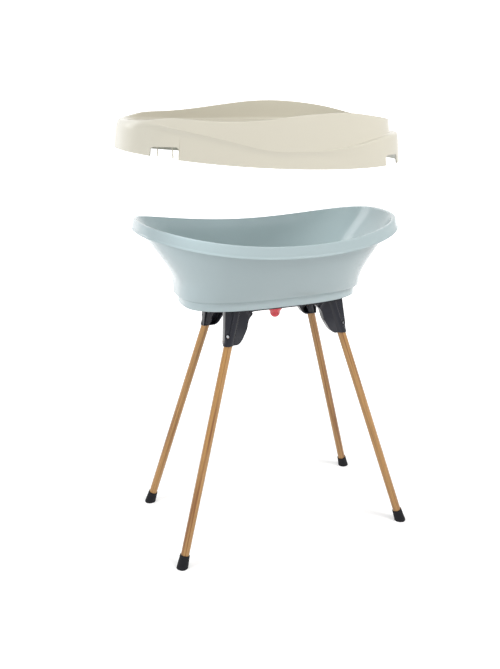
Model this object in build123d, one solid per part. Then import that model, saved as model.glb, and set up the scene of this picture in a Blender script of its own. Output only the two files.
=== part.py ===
from build123d import *
import os
from math import atan, cos, degrees, pi, sin, sqrt

# Changing board with bathtub on a four-legged stand, in millimetres, +Z up.
# The origin is on the floor, at the middle of the whole length and width. The foot end of the
# bath is towards -X, the head end towards +X, and the front of the stand faces -Y. At rest the
# changing board hovers over the bath, lifted off and shifted towards the foot end. All X places
# below count from the middle of the stand, until the finished pieces are moved to the origin.

# Driving dimensions of the bath
TUB_LENGTH = 800.0
TUB_WIDTH = 500.0
TUB_X = -18.0
TUB_WALL = 3.0
TUB_POWER = 2.58
RIM_LOW_Z = 949.0
RIM_LOW_X = 12.0
RIM_RADIUS = 1540.0
APRON_HEIGHT = 34.0
RIM_BEAD = 1.5
RIM_BEAD_HEIGHT = 4.0
BASE_Z = 751.0
BASE_LENGTH = 544.0
BASE_WIDTH = 282.0
BASE_HEIGHT = 27.0
BASE_POWER = 2.9
FLOOR_THICKNESS = 4.0
LOCATING_RIB_HEIGHT = 9.0
LOCATING_RIB_LENGTH = 90.0

# Driving dimensions of the stand
FOOT_X = 370.0
FOOT_Y = 206.0
SOCKET_X = 182.2
SOCKET_Y = 111.1
SOCKET_Z = 645.0
LEG_DIAMETER = 25.0
LEG_LOW_Z = 6.0
LEG_TOP_Z = 742.0
STAND_WALL = 3.0
SOCKET_WALL = 3.5
BRACKET_X = 186.0
BRACKET_FLARE = 8.6
WEB_FOOT_X = 158.0
ARCH_X = 82.0
RAIL_DEPTH = 13.0
RAIL_THICKNESS = 34.0
RAIL_FACE = 9.0
RIB_THICKNESS = 2.5
BAR_X = 60.0
BAR_WIDTH = 24.0
BAR_HEIGHT = 17.0
BAR_END = 6.0
TONGUE_LENGTH = 16.0
CAP_HEIGHT = 38.0
CAP_WALL = 2.5
CAP_FLARE = 2.5

# Driving dimensions of the screws and inserts
LEG_SCREW_RISE = 29.0
LEG_SCREW_TURN = 45.0
LEG_SCREW_DIAMETER = 5.0
LEG_SCREW_HEAD = 9.0
LEG_SCREW_HEAD_HEIGHT = 2.5
LEG_SCREW_SEAT = 1.5
SCREW_POCKET = 13.0
INSERT_DIAMETER = 8.0
INSERT_LENGTH = 12.0
BAR_SCREW_DIAMETER = 4.0
BAR_SCREW_HEAD = 8.0
BAR_SCREW_HEAD_HEIGHT = 2.5

# Driving dimensions of the changing board, as it is seated on the bath
BOARD_LENGTH = 822.0
BOARD_WIDTH = 522.0
BOARD_RISE = 135.0
BOARD_WALL = 3.0
BOARD_POWER = 2.6
BOARD_LIFT = 235.0
BOARD_SHIFT = 22.0
SKIRT_LOW_Z = 913.0
SKIRT_LOW_X = 242.0
SKIRT_RADIUS = 4000.0
SKIRT_END_REACH = 7.8
SKIRT_SIDE_DRAFT = 20.0
SKIRT_FOOT_DRAFT = 23.5
SKIRT_HEAD_DRAFT = 13.8
WALL_FOOT_X = -405.0
WALL_HEAD_X = 364.0
WALL_HALF_WIDTH = 250.0
WALL_FOOT_DRAFT = 7.0
WALL_HEAD_DRAFT = 12.0
WALL_SIDE_DRAFT = 22.0
SEAT_RIB_WIDTH = 30.0
RIM_SIDE_PLAY = 2.0
RIM_LIFT_PLAY = 3.0
TRAY_RIB_HEIGHT = 9.0
NOTCH_X = -347.0
NOTCH_LENGTH = 62.0
NOTCH_HEIGHT = 27.0
NOTCH_ROUND = 8.0
HEAD_NOTCH_X = 278.0
HEAD_NOTCH_LOW_Y = 168.0
HEAD_NOTCH_HIGH_Y = 228.0

# Driving dimensions of the drain
DRAIN_X = 9.0
OUTLET_DIAMETER = 40.0
OUTLET_WALL = 3.0
OUTLET_LENGTH = 34.0
OUTLET_FLANGE_DIAMETER = 62.0
OUTLET_FLANGE_THICKNESS = 2.5
COLLAR_HEIGHT = 10.0
SEAL_THICKNESS = 2.0
DRAIN_CAP_DIAMETER = 48.0
DRAIN_CAP_WALL = 3.0
DRAIN_CAP_DEPTH = 14.0
KNOB_DIAMETER = 31.0
KNOB_DROP = 33.0

# Clearances and steps that pieces share
SEAT_GAP = 0.3
FIT_GAP = 0.1
OVERRUN = 60.0
QUARTER_STEPS = 6

STAND_TOP = BASE_Z - SEAT_GAP
STEP_Z = BASE_Z + BASE_HEIGHT
LEG_RUN_X = (FOOT_X - SOCKET_X) / SOCKET_Z
LEG_RUN_Y = (FOOT_Y - SOCKET_Y) / SOCKET_Z
RAIL_TILT = atan(LEG_RUN_Y)
RAIL_HALF_SPAN = RAIL_THICKNESS / (2 * cos(RAIL_TILT))
RAIL_INNER_Y = SOCKET_Y - LEG_RUN_Y * (STAND_TOP - SOCKET_Z) - RAIL_HALF_SPAN
OUTLET_RECESS = OUTLET_FLANGE_THICKNESS + SEAL_THICKNESS + FIT_GAP
BOARD_FOOT_X = TUB_X - BOARD_LENGTH / 2
BOARD_HEAD_X = TUB_X + BOARD_LENGTH / 2
BOARD_TOP_Z = RIM_LOW_Z + BOARD_RISE


def outline(x_low, x_high, half_width, power, z):
    """A flat face at height z bounded by the curve |x/a|^n + |y/b|^n = 1 between two X places."""
    middle, half_length = (x_low + x_high) / 2, (x_high - x_low) / 2
    points = []
    for i in range(4 * QUARTER_STEPS):
        t = pi * i / (2 * QUARTER_STEPS)
        c, s = cos(t), sin(t)
        along = half_length * (1 if c >= 0 else -1) * abs(c) ** (2 / power)
        across = half_width * (1 if s >= 0 else -1) * abs(s) ** (2 / power)
        points.append((middle + along, across, z))
    return make_face(Spline(*points, periodic=True))


def prism(x_low, x_high, half_width, power, z_low, z_high):
    """A solid of the same outline between two heights."""
    return extrude(outline(x_low, x_high, half_width, power, z_low), z_high - z_low, dir=(0, 0, 1))


def upright(face, y_low, y_high):
    """A face in the XZ plane carried along Y from y_low to y_high."""
    return Pos(0, y_low, 0) * extrude(face, y_high - y_low, dir=(0, 1, 0))


def band(lower, upper, half_width):
    """The solid across Y between two edges of the XZ plane whose ends share their X."""
    face = make_face([lower, Line(lower @ 1, upper @ 1), upper, Line(lower @ 0, upper @ 0)])
    return upright(face, -half_width, half_width)


def height_line(x_low, x_high, z):
    return Line((x_low, 0, z), (x_high, 0, z))


def level(z_low, z_high):
    """Everything between two heights."""
    size = 4 * FOOT_X
    return Pos(0, 0, (z_low + z_high) / 2) * Box(size, size, z_high - z_low)


def bore(x, y, z, diameter, depth):
    """A round upright solid whose lower face is centred on the point given."""
    return Pos(x, y, z + depth / 2) * Cylinder(diameter / 2, depth)


def ring(x, z, outer, inner, height):
    return bore(x, 0, z, outer, height) - bore(x, 0, z - OVERRUN, inner, height + 2 * OVERRUN)


# The bath

TUB_LEVEL_SHARES = (
    # share of the way from the base's step to the rim's low point, then of the length and width
    (0.0, 0.712, 0.600),
    (0.25, 0.718, 0.716),
    (0.50, 0.766, 0.816),
    (0.75, 0.836, 0.902),
    (1.0, 0.906, 0.956),
    (1.40, 0.985, 0.985),
)


def rim_z(x):
    """Height of the rim's top, a shallow arc along the length."""
    return RIM_LOW_Z + RIM_RADIUS - sqrt(RIM_RADIUS**2 - (x - RIM_LOW_X) ** 2)


def rim_edge(rise):
    """The rim's arc raised by rise, carried well past both ends."""
    places = (-TUB_LENGTH, RIM_LOW_X, TUB_LENGTH)
    return ThreePointArc(*[(x, 0, rim_z(x) + rise) for x in places])


def tub_prism(inset, z_low, z_high):
    half = TUB_LENGTH / 2 - inset
    return prism(TUB_X - half, TUB_X + half, TUB_WIDTH / 2 - inset, TUB_POWER, z_low, z_high)


def tub_body(inset, z_floor):
    """The bath's body above z_floor, with its outside drawn in by inset."""
    sections = []
    for share_z, share_l, share_w in TUB_LEVEL_SHARES:
        z = max(STEP_Z + share_z * (RIM_LOW_Z - STEP_Z), z_floor)
        power = BASE_POWER + min(share_z, 1) * (TUB_POWER - BASE_POWER)
        half = share_l * TUB_LENGTH / 2 - inset
        sections.append(outline(TUB_X - half, TUB_X + half, share_w * TUB_WIDTH / 2 - inset, power, z))
    return loft(sections)


def tub_base(inset, z_low, z_high):
    half = BASE_LENGTH / 2 - inset
    return prism(TUB_X - half, TUB_X + half, BASE_WIDTH / 2 - inset, BASE_POWER, z_low, z_high)


def tub_rim():
    """The turned-down rim: an apron, a flange along its top and a bead along its lower edge."""
    z_low, z_high = RIM_LOW_Z - APRON_HEIGHT - OVERRUN, rim_z(TUB_X - TUB_LENGTH / 2) + OVERRUN
    beaded = tub_prism(0, z_low, z_high)
    outer = tub_prism(RIM_BEAD, z_low, z_high)
    inner = tub_prism(RIM_BEAD + TUB_WALL, z_low, z_high)
    hem, top = rim_edge(-APRON_HEIGHT), rim_edge(0)
    apron = (outer - inner) & band(hem, top, TUB_WIDTH)
    edge = (beaded - inner) & band(hem, rim_edge(RIM_BEAD_HEIGHT - APRON_HEIGHT), TUB_WIDTH)
    flange = outer & band(rim_edge(-TUB_WALL), top, TUB_WIDTH)
    return apron + edge + flange


def locating_ribs():
    """Ribs under the base that drop between the stand's rails, outboard of its cross bars."""
    y = RAIL_INNER_Y - TUB_WALL / 2 - 2 * SEAT_GAP
    x = BAR_X + BAR_WIDTH / 2 + LOCATING_RIB_LENGTH / 2 + 2 * SEAT_GAP
    rib = Box(LOCATING_RIB_LENGTH, TUB_WALL, LOCATING_RIB_HEIGHT)
    return [Pos(sx * x, sy * y, BASE_Z - LOCATING_RIB_HEIGHT / 2) * rib for sx in (-1, 1) for sy in (-1, 1)]


def bath_tub():
    floor_z = BASE_Z + FLOOR_THICKNESS
    below_rim = band(height_line(-TUB_LENGTH, TUB_LENGTH, BASE_Z), rim_edge(0), TUB_WIDTH)
    boss_z = floor_z - OUTLET_RECESS - TUB_WALL
    base = tub_base(0, BASE_Z, STEP_Z + TUB_WALL) - tub_base(TUB_WALL, floor_z, STEP_Z + 2 * TUB_WALL)
    base += bore(DRAIN_X, 0, boss_z, OUTLET_FLANGE_DIAMETER + 2 * TUB_WALL, floor_z - boss_z)
    base -= bore(DRAIN_X, 0, floor_z - OUTLET_RECESS, OUTLET_FLANGE_DIAMETER + 2 * FIT_GAP, OVERRUN)
    base -= bore(DRAIN_X, 0, boss_z - OVERRUN, OUTLET_DIAMETER + 2 * FIT_GAP, 2 * OVERRUN)
    body = (tub_body(0, STEP_Z) & below_rim) - tub_base(TUB_WALL, BASE_Z, STEP_Z + 2 * TUB_WALL)
    hollow = tub_body(TUB_WALL, STEP_Z + TUB_WALL)
    return (body - hollow).fuse(tub_rim() - hollow, base, *locating_ribs())


# The drain, under the middle of the bath

SPIGOT_END_Z = BASE_Z - OUTLET_LENGTH
CAP_SEAT_Z = SPIGOT_END_Z - FIT_GAP - SEAL_THICKNESS
COLLAR_DIAMETER = DRAIN_CAP_DIAMETER - 2 * DRAIN_CAP_WALL - 2 * SEAT_GAP


def drain_outlet():
    """A flanged spigot through the floor with a collar at its lower end that takes the cap."""
    top, hole = BASE_Z + FLOOR_THICKNESS, OUTLET_DIAMETER - 2 * OUTLET_WALL
    tube = ring(DRAIN_X, SPIGOT_END_Z, OUTLET_DIAMETER, hole, top - SPIGOT_END_Z)
    flange_z = top - OUTLET_FLANGE_THICKNESS
    flange = ring(DRAIN_X, flange_z, OUTLET_FLANGE_DIAMETER, hole, OUTLET_FLANGE_THICKNESS)
    return tube + flange + ring(DRAIN_X, SPIGOT_END_Z, COLLAR_DIAMETER, hole, COLLAR_HEIGHT)


def outlet_seal():
    z = BASE_Z + FLOOR_THICKNESS - OUTLET_RECESS
    return ring(DRAIN_X, z, OUTLET_FLANGE_DIAMETER, OUTLET_DIAMETER + 2 * FIT_GAP, SEAL_THICKNESS)


def drain_cap():
    """A cup that closes the outlet from below, drawn in to a rounded knob to pull it by."""
    rim_r, knob_r = DRAIN_CAP_DIAMETER / 2, KNOB_DIAMETER / 2
    under_z = CAP_SEAT_Z - DRAIN_CAP_WALL
    tip_z = under_z - KNOB_DROP
    dome_z = tip_z + knob_r
    tip, waist = (0, 0, tip_z), (knob_r, 0, dome_z)
    bulge = (knob_r * sin(pi / 4), 0, dome_z - knob_r * cos(pi / 4))
    side = [
        Line((0, 0, CAP_SEAT_Z), tip),
        ThreePointArc(tip, bulge, waist),
        Spline(waist, (rim_r, 0, under_z), tangents=((0, 0, 1), (1, 0, 0))),
        Line((rim_r, 0, under_z), (rim_r, 0, CAP_SEAT_Z)),
        Line((rim_r, 0, CAP_SEAT_Z), (0, 0, CAP_SEAT_Z)),
    ]
    knob = Pos(DRAIN_X, 0, 0) * revolve(make_face(side), Axis.Z)
    inside = DRAIN_CAP_DIAMETER - 2 * DRAIN_CAP_WALL
    return knob + ring(DRAIN_X, CAP_SEAT_Z, DRAIN_CAP_DIAMETER, inside, DRAIN_CAP_DEPTH)


def cap_seal():
    """The flat ring that lies in the cup, under the collar's edge."""
    return ring(DRAIN_X, CAP_SEAT_Z, COLLAR_DIAMETER, OUTLET_DIAMETER - 2 * OUTLET_WALL, SEAL_THICKNESS)


# The legs, each leaning outwards both ways, with its rubber foot

def on_leg(z):
    """The point on the axis of the leg at +X +Y at height z."""
    return FOOT_X - LEG_RUN_X * z, FOOT_Y - LEG_RUN_Y * z, z


def along_leg(z_low, z_high, r_low, r_high):
    """A round solid on the leg's axis between two heights of that axis."""
    low, high = Vector(*on_leg(z_low)), Vector(*on_leg(z_high))
    length = (high - low).length
    shape = Cylinder(r_low, length) if r_low == r_high else Cone(r_low, r_high, length)
    return Plane(origin=low, z_dir=high - low) * Pos(0, 0, length / 2) * shape


def into_leg(diameter, start, depth):
    """A round solid on the leg screw's axis, from start outside the leg's surface inwards."""
    turn = LEG_SCREW_TURN * pi / 180
    lean = LEG_RUN_X * cos(turn) + LEG_RUN_Y * sin(turn)
    face = LEG_DIAMETER / 2 * sqrt(1 + lean**2) + start
    rod = Pos(face - depth / 2, 0, 0) * Rot(0, 90, 0) * Cylinder(diameter / 2, depth)
    return Pos(*on_leg(SOCKET_Z + LEG_SCREW_RISE)) * Rot(0, 0, LEG_SCREW_TURN) * rod


def leg():
    wood = along_leg(LEG_LOW_Z, LEG_TOP_Z, LEG_DIAMETER / 2, LEG_DIAMETER / 2)
    return wood - into_leg(INSERT_DIAMETER + 2 * FIT_GAP, OVERRUN, OVERRUN + INSERT_LENGTH + FIT_GAP)


def foot():
    """A rubber cap that widens downwards and is cut level with the floor."""
    top_r = LEG_DIAMETER / 2 + CAP_WALL
    bore_r = LEG_DIAMETER / 2 + FIT_GAP
    cap = along_leg(-LEG_LOW_Z, CAP_HEIGHT, top_r + CAP_FLARE, top_r) - level(-OVERRUN, 0)
    return cap - along_leg(LEG_LOW_Z - FIT_GAP, CAP_HEIGHT + OVERRUN, bore_r, bore_r)


def leg_insert():
    """A threaded sleeve in the leg, just below its surface."""
    sleeve = into_leg(INSERT_DIAMETER, -CAP_WALL, INSERT_LENGTH - CAP_WALL)
    return sleeve - into_leg(LEG_SCREW_DIAMETER + 2 * FIT_GAP, OVERRUN, 2 * OVERRUN)


def leg_screw():
    head_start = LEG_SCREW_SEAT + FIT_GAP + LEG_SCREW_HEAD_HEIGHT
    head = into_leg(LEG_SCREW_HEAD, head_start, LEG_SCREW_HEAD_HEIGHT)
    reach = INSERT_LENGTH - CAP_WALL + LEG_SCREW_SEAT
    return head + into_leg(LEG_SCREW_DIAMETER, LEG_SCREW_SEAT + FIT_GAP, reach)


# The rails, each one moulding with an arch between its two leg sockets

WEB_SHARES = ((0.855, 0.065), (0.697, 0.247), (0.526, 0.538), (0.408, 0.806), (0.289, 0.925))


def rail_profile(inset):
    """Half of the rail's front outline, drawn in by inset except where the halves meet."""
    top, low = STAND_TOP - inset, SOCKET_Z + inset
    outer = BRACKET_X - inset
    arch_z = STAND_TOP - RAIL_DEPTH
    web = [(WEB_FOOT_X + inset, 0, low)]
    for share_x, share_z in WEB_SHARES:
        x, z = ARCH_X + share_x * (WEB_FOOT_X - ARCH_X), SOCKET_Z + share_z * (arch_z - SOCKET_Z)
        web.append((x + inset, 0, z + inset))
    web.append((ARCH_X + inset, 0, arch_z + inset))
    return make_face([
        Line((0, 0, arch_z + inset), (0, 0, top)),
        Line((0, 0, top), (outer, 0, top)),
        Line((outer, 0, top), (outer + BRACKET_FLARE, 0, low)),
        Line((outer + BRACKET_FLARE, 0, low), web[0]),
        Spline(*web, tangents=((-1, 0, LEG_RUN_X), (-1, 0, 0))),
        Line(web[-1], (0, 0, arch_z + inset)),
    ])


def leaning_slab(inner, outer):
    """Everything between two planes that lean with the back legs, placed from their axes."""
    size = 4 * FOOT_X
    slab = Pos(0, (inner + outer) / 2, 0) * Box(size, outer - inner, size)
    return Pos(0, SOCKET_Y, SOCKET_Z) * Rot(degrees(RAIL_TILT), 0, 0) * slab


def tongue_rib_places():
    """X places of the ribs that hold a cross bar's tongue from both sides."""
    reach = BAR_WIDTH / 2 - STAND_WALL + FIT_GAP + RIB_THICKNESS / 2
    return BAR_X - reach, BAR_X + reach


def rail():
    """The back rail: a moulded shell, open towards the front rail, with a socket at each end."""
    face = leaning_slab(-RAIL_THICKNESS / 2, RAIL_FACE)
    behind = leaning_slab(-OVERRUN, RAIL_FACE - STAND_WALL)
    tube_r, bore_r = LEG_DIAMETER / 2 + SOCKET_WALL, LEG_DIAMETER / 2 + FIT_GAP
    tube = along_leg(SOCKET_Z - OVERRUN, STAND_TOP + OVERRUN, tube_r, tube_r)
    pocket = (upright(rail_profile(STAND_WALL), 0, 2 * SOCKET_Y) & behind) - tube
    for x in (*tongue_rib_places(), (ARCH_X + WEB_FOOT_X) / 2):
        pocket -= Pos(x, SOCKET_Y, SOCKET_Z) * Box(RIB_THICKNESS, 4 * RAIL_THICKNESS, 4 * OVERRUN)
    side = (upright(rail_profile(0), 0, 2 * SOCKET_Y) & face) + (tube & level(SOCKET_Z, STAND_TOP)) - pocket
    bored = along_leg(SOCKET_Z - OVERRUN, STAND_TOP + OVERRUN, bore_r, bore_r)
    side -= bored & level(0, STAND_TOP - STAND_WALL)
    side -= into_leg(LEG_SCREW_DIAMETER + 2 * FIT_GAP, OVERRUN, 2 * OVERRUN)
    side -= into_leg(SCREW_POCKET, LEG_SCREW_SEAT + OVERRUN, OVERRUN)
    whole = side + mirror(side, Plane.YZ)
    for x in (-BAR_X, BAR_X):
        whole -= bar_screw_rod(x, BAR_SCREW_DIAMETER + 2 * FIT_GAP, STAND_TOP - RAIL_DEPTH - OVERRUN)
    return whole


# The cross bars, hung between the rails by a tongue at each end

TONGUE_LOW_Z = STAND_TOP - RAIL_DEPTH + STAND_WALL + FIT_GAP
TONGUE_HIGH_Z = STAND_TOP - STAND_WALL - FIT_GAP


def bar_screw_rod(x, diameter, z_low):
    """A round solid on a bar screw's axis, from z_low up to just under the tongue's top."""
    y = RAIL_INNER_Y + TONGUE_LENGTH / 2
    return bore(x, y, z_low, diameter, TONGUE_HIGH_Z - SEAT_GAP - z_low)


def bar_screw(x):
    """A pan-head screw up through the rail's underside into the bar's tongue."""
    under_z = STAND_TOP - RAIL_DEPTH - FIT_GAP
    y = RAIL_INNER_Y + TONGUE_LENGTH / 2
    head = bore(x, y, under_z - BAR_SCREW_HEAD_HEIGHT, BAR_SCREW_HEAD, BAR_SCREW_HEAD_HEIGHT)
    shank = bar_screw_rod(x, BAR_SCREW_DIAMETER, under_z) - level(TONGUE_HIGH_Z - 2 * SEAT_GAP, STAND_TOP)
    return head + shank


def cross_bar(x):
    """An inverted channel between the rails with a tongue at each end."""
    inside = BAR_WIDTH - 2 * STAND_WALL
    beam_z, reach = STAND_TOP - BAR_HEIGHT / 2, RAIL_INNER_Y + OVERRUN / 2
    beam = Pos(x, 0, beam_z) * Box(BAR_WIDTH, 2 * reach, BAR_HEIGHT)
    beyond = leaning_slab(-RAIL_THICKNESS / 2 - SEAT_GAP, OVERRUN)
    beam -= beyond
    beam -= mirror(beyond, Plane.XZ)
    beam -= Pos(x, 0, beam_z - STAND_WALL) * Box(inside, 2 * (RAIL_INNER_Y - BAR_END), BAR_HEIGHT)
    tongue_z, height = (TONGUE_LOW_Z + TONGUE_HIGH_Z) / 2, TONGUE_HIGH_Z - TONGUE_LOW_Z
    beam += Pos(x, 0, tongue_z) * Box(inside, 2 * (RAIL_INNER_Y + TONGUE_LENGTH), height) \
        - Pos(x, 0, tongue_z) * Box(inside, 2 * (RAIL_INNER_Y - BAR_END), height)
    hole = bar_screw_rod(x, BAR_SCREW_DIAMETER + 2 * FIT_GAP, TONGUE_LOW_Z - OVERRUN)
    return beam - hole - mirror(hole, Plane.XZ)


# The changing board, worked out as it sits on the bath and then lifted off. Each table gives
# a share of the board's length from the foot end, then shares of its rise over the rim. The
# ridge runs on past both ends, so that it cuts the whole skirt.

RIDGE_SHARES = ((-0.02, 0.630), (0.06, 0.660), (0.157, 0.556), (0.308, 0.326), (0.434, 0.148),
                (0.549, 0.119), (0.634, 0.122), (0.792, 0.252), (0.90, 0.345), (1.02, 0.363))
NEAR_CREST_SHARES = ((0, 0.700), (0.062, 0.755), (0.232, 0.704), (0.33, 0.681), (0.427, 0.704),
                     (0.524, 0.756), (0.622, 0.785), (0.707, 0.785), (0.792, 0.719), (0.95, 0.578),
                     (1, 0.556))
FAR_CREST_SHARES = ((0, 0.700), (0.094, 0.790), (0.269, 0.822), (0.378, 0.874), (0.488, 0.948), (0.603, 1),
                    (0.719, 0.978), (0.798, 0.926), (0.877, 0.830), (0.962, 0.637), (1, 0.556))
TRAY_SHARES = (
    # the lying surface: length, then the rise at the near wall, along the middle, at the far wall
    (0, 0.715, 0.700, 0.715),
    (0.184, 0.640, 0.605, 0.640),
    (0.36, 0.590, 0.545, 0.600),
    (0.60, 0.560, 0.490, 0.590),
    (0.826, 0.520, 0.440, 0.560),
    (1, 0.455, 0.407, 0.470),
)
SEAT_RIB_SHARES = (0.085, 0.125, 0.30, 0.50, 0.70, 0.85)
TRAY_RIB_SHARES = (0.2, 0.4, 0.6, 0.8)


def board_place(share_x, share_z):
    return BOARD_FOOT_X + share_x * BOARD_LENGTH, 0, RIM_LOW_Z + share_z * BOARD_RISE


RIDGE_FOOT_X, RIDGE_HEAD_X = board_place(RIDGE_SHARES[0][0], 0)[0], board_place(RIDGE_SHARES[-1][0], 0)[0]


def board_edge(shares, rise=0.0):
    """A smooth edge along the board through a table of places, raised by rise."""
    return Pos(0, 0, rise) * Spline(*[board_place(*pair) for pair in shares])


def skirt_rise(x):
    """How far the skirt's lower edge is above its lowest place at x."""
    return SKIRT_RADIUS - sqrt(SKIRT_RADIUS**2 - (x - SKIRT_LOW_X) ** 2)


def skirt_edge():
    """The skirt's lower edge, a long arc that is lowest towards the head end."""
    places = (RIDGE_FOOT_X, TUB_X, RIDGE_HEAD_X)
    return ThreePointArc(*[(x, 0, SKIRT_LOW_Z + skirt_rise(x)) for x in places])


def skirt_form(inset):
    """The outside of the skirt, drafted most at the foot end, drawn in by inset."""
    x_low, x_high = BOARD_FOOT_X - SKIRT_END_REACH + inset, BOARD_HEAD_X - inset
    half = BOARD_WIDTH / 2 - inset
    low = outline(x_low, x_high, half, BOARD_POWER, SKIRT_LOW_Z)
    high = outline(x_low + SKIRT_FOOT_DRAFT, x_high - SKIRT_HEAD_DRAFT, half - SKIRT_SIDE_DRAFT,
                   BOARD_POWER, BOARD_TOP_Z)
    return loft([low, high])


def wall_form(inset):
    """The outside of the wall round the lying surface, drawn in by inset."""
    x_low, x_high, half = WALL_FOOT_X + inset, WALL_HEAD_X - inset, WALL_HALF_WIDTH - inset
    low = outline(x_low, x_high, half, BOARD_POWER, RIM_LOW_Z)
    high = outline(x_low + WALL_FOOT_DRAFT, x_high - WALL_HEAD_DRAFT, half - WALL_SIDE_DRAFT,
                   BOARD_POWER, BOARD_TOP_Z + BOARD_WALL)
    return loft([low, high])


def below_crest():
    """Everything under the crest, which rises from the near side to the far side."""
    faces = []
    for side, shares in ((-1, NEAR_CREST_SHARES), (1, FAR_CREST_SHARES)):
        crest = board_edge(shares)
        low = height_line(BOARD_FOOT_X, BOARD_HEAD_X, RIM_LOW_Z)
        face = make_face([low, Line(low @ 1, crest @ 1), crest, Line(low @ 0, crest @ 0)])
        faces.append(Pos(0, side * BOARD_WIDTH / 2, 0) * face)
    return loft(faces, ruled=True)


def tray_form(drop, thickness):
    """The lying surface, dished across and falling along the board, as a sheet below it."""
    sections, half = [], BOARD_WIDTH / 2
    for share_x, *rises in TRAY_SHARES:
        x = board_place(share_x, 0)[0]
        heights = [board_place(0, rise)[2] - drop for rise in rises]
        top = ThreePointArc(*[(x, y, z) for y, z in zip((-half, 0, half), heights)])
        low = Pos(0, 0, -thickness) * top
        sections.append(make_face([top, Line(top @ 1, low @ 1), low, Line(low @ 0, top @ 0)]))
    return loft(sections)


def over_rim():
    """The room that the bath's rim and its path off the board need, with side play."""
    reach = TUB_LENGTH / 2 + RIM_SIDE_PLAY
    room = prism(TUB_X - reach, TUB_X + reach + 2 * RIM_LIFT_PLAY, TUB_WIDTH / 2 + RIM_SIDE_PLAY,
                 BOARD_POWER, SKIRT_LOW_Z - OVERRUN, BOARD_TOP_Z)
    floor = height_line(-TUB_LENGTH, TUB_LENGTH, SKIRT_LOW_Z - OVERRUN)
    return room & band(floor, rim_edge(SEAT_GAP), TUB_WIDTH)


def seat_ribs():
    """Ribs across the skirt's inner side, cut to the rim's arc, that carry the board."""
    top = board_edge(RIDGE_SHARES, -BOARD_WALL / 2)
    within = skirt_form(BOARD_WALL / 2) & band(Pos(0, 0, BOARD_WALL) * skirt_edge(), top, BOARD_WIDTH)
    within -= over_rim()
    within -= prism(WALL_FOOT_X + SEAT_RIB_WIDTH, WALL_HEAD_X - SEAT_RIB_WIDTH,
                    WALL_HALF_WIDTH - SEAT_RIB_WIDTH, BOARD_POWER, SKIRT_LOW_Z - OVERRUN, BOARD_TOP_Z)
    ribs = []
    for share in SEAT_RIB_SHARES:
        x = board_place(share, 0)[0]
        ribs.append(Pos(x, 0, RIM_LOW_Z) * Box(BOARD_WALL, BOARD_WIDTH, 2 * BOARD_RISE) & within)
    return ribs


def tray_ribs(within):
    """Ribs across the underside of the lying surface, from wall to wall."""
    under, ribs = tray_form(BOARD_WALL / 2, TRAY_RIB_HEIGHT) & within, []
    for share in TRAY_RIB_SHARES:
        x = board_place(share, 0)[0]
        ribs.append(Pos(x, 0, BOARD_TOP_Z) * Box(BOARD_WALL, BOARD_WIDTH, 4 * BOARD_RISE) & under)
    return ribs


def notches():
    """Cut-outs in the skirt's lower edge: one each side near the foot end, one at each head corner."""
    def rounded(x_low, x_high):
        middle = Pos((x_low + x_high) / 2, SKIRT_LOW_Z + (NOTCH_HEIGHT - OVERRUN) / 2)
        return Plane.XZ * middle * RectangleRounded(x_high - x_low, OVERRUN + NOTCH_HEIGHT, NOTCH_ROUND)

    sides = Pos(0, 0, skirt_rise(NOTCH_X)) * rounded(NOTCH_X - NOTCH_LENGTH / 2, NOTCH_X + NOTCH_LENGTH / 2)
    cuts = [extrude(sides, BOARD_WIDTH, both=True)]
    head = rounded(HEAD_NOTCH_X, BOARD_HEAD_X + OVERRUN)
    width, middle = HEAD_NOTCH_HIGH_Y - HEAD_NOTCH_LOW_Y, (HEAD_NOTCH_HIGH_Y + HEAD_NOTCH_LOW_Y) / 2
    for side in (-1, 1):
        cuts.append(Pos(0, side * middle, 0) * extrude(head, width / 2, both=True))
    return cuts


def changing_board():
    """One moulding: a skirt that goes over the rim, a wall with a rising crest, and a tray."""
    edge, ridge = skirt_edge(), board_edge(RIDGE_SHARES)
    under_ridge = board_edge(RIDGE_SHARES, -BOARD_WALL)
    low = height_line(RIDGE_FOOT_X, RIDGE_HEAD_X, SKIRT_LOW_Z - BOARD_WALL)
    high = height_line(RIDGE_FOOT_X, RIDGE_HEAD_X, BOARD_TOP_Z + OVERRUN)
    skirt = skirt_form(0) & band(edge, ridge, BOARD_WIDTH)
    wall = wall_form(0) & below_crest() & band(under_ridge, high, BOARD_WIDTH)
    hollow = skirt_form(BOARD_WALL) & band(low, under_ridge, BOARD_WIDTH)
    middle = wall_form(BOARD_WALL / 2)
    tray = tray_form(0, BOARD_WALL) & middle
    shell = (skirt + wall - hollow - wall_form(BOARD_WALL)).fuse(tray)
    return shell.cut(*notches()).fuse(*tray_ribs(middle), *seat_ribs())


# Every piece in the frame, moved so that the origin is at the middle of the floor

def turned_about(solid):
    """A piece of the leg at +X +Y, carried to all four legs."""
    right = [solid, mirror(solid, Plane.XZ)]
    left = [mirror(piece, Plane.YZ) for piece in right]
    return dict(zip(("back_right", "front_right", "back_left", "front_left"), right + left))


def pieces():
    board = Pos(-BOARD_SHIFT, 0, BOARD_LIFT) * changing_board()
    back = rail()
    named = {
        "changing_board": board, "bath_tub": bath_tub(), "drain_outlet": drain_outlet(),
        "outlet_seal": outlet_seal(), "drain_cap": drain_cap(), "cap_seal": cap_seal(),
        "back_rail": back, "front_rail": mirror(back, Plane.XZ),
        "left_cross_bar": cross_bar(-BAR_X), "right_cross_bar": cross_bar(BAR_X),
    }
    for corner, solid in turned_about(leg()).items():
        named[f"leg_{corner}"] = solid
    for corner, solid in turned_about(foot()).items():
        named[f"foot_{corner}"] = solid
    screws = [bar_screw(x) for x in (-BAR_X, BAR_X)]
    named["cross_bar_screws"] = Compound(screws + [mirror(screw, Plane.XZ) for screw in screws])
    named["leg_screws"] = Compound(list(turned_about(leg_screw()).values()))
    named["leg_inserts"] = Compound(list(turned_about(leg_insert()).values()))
    return named


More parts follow.
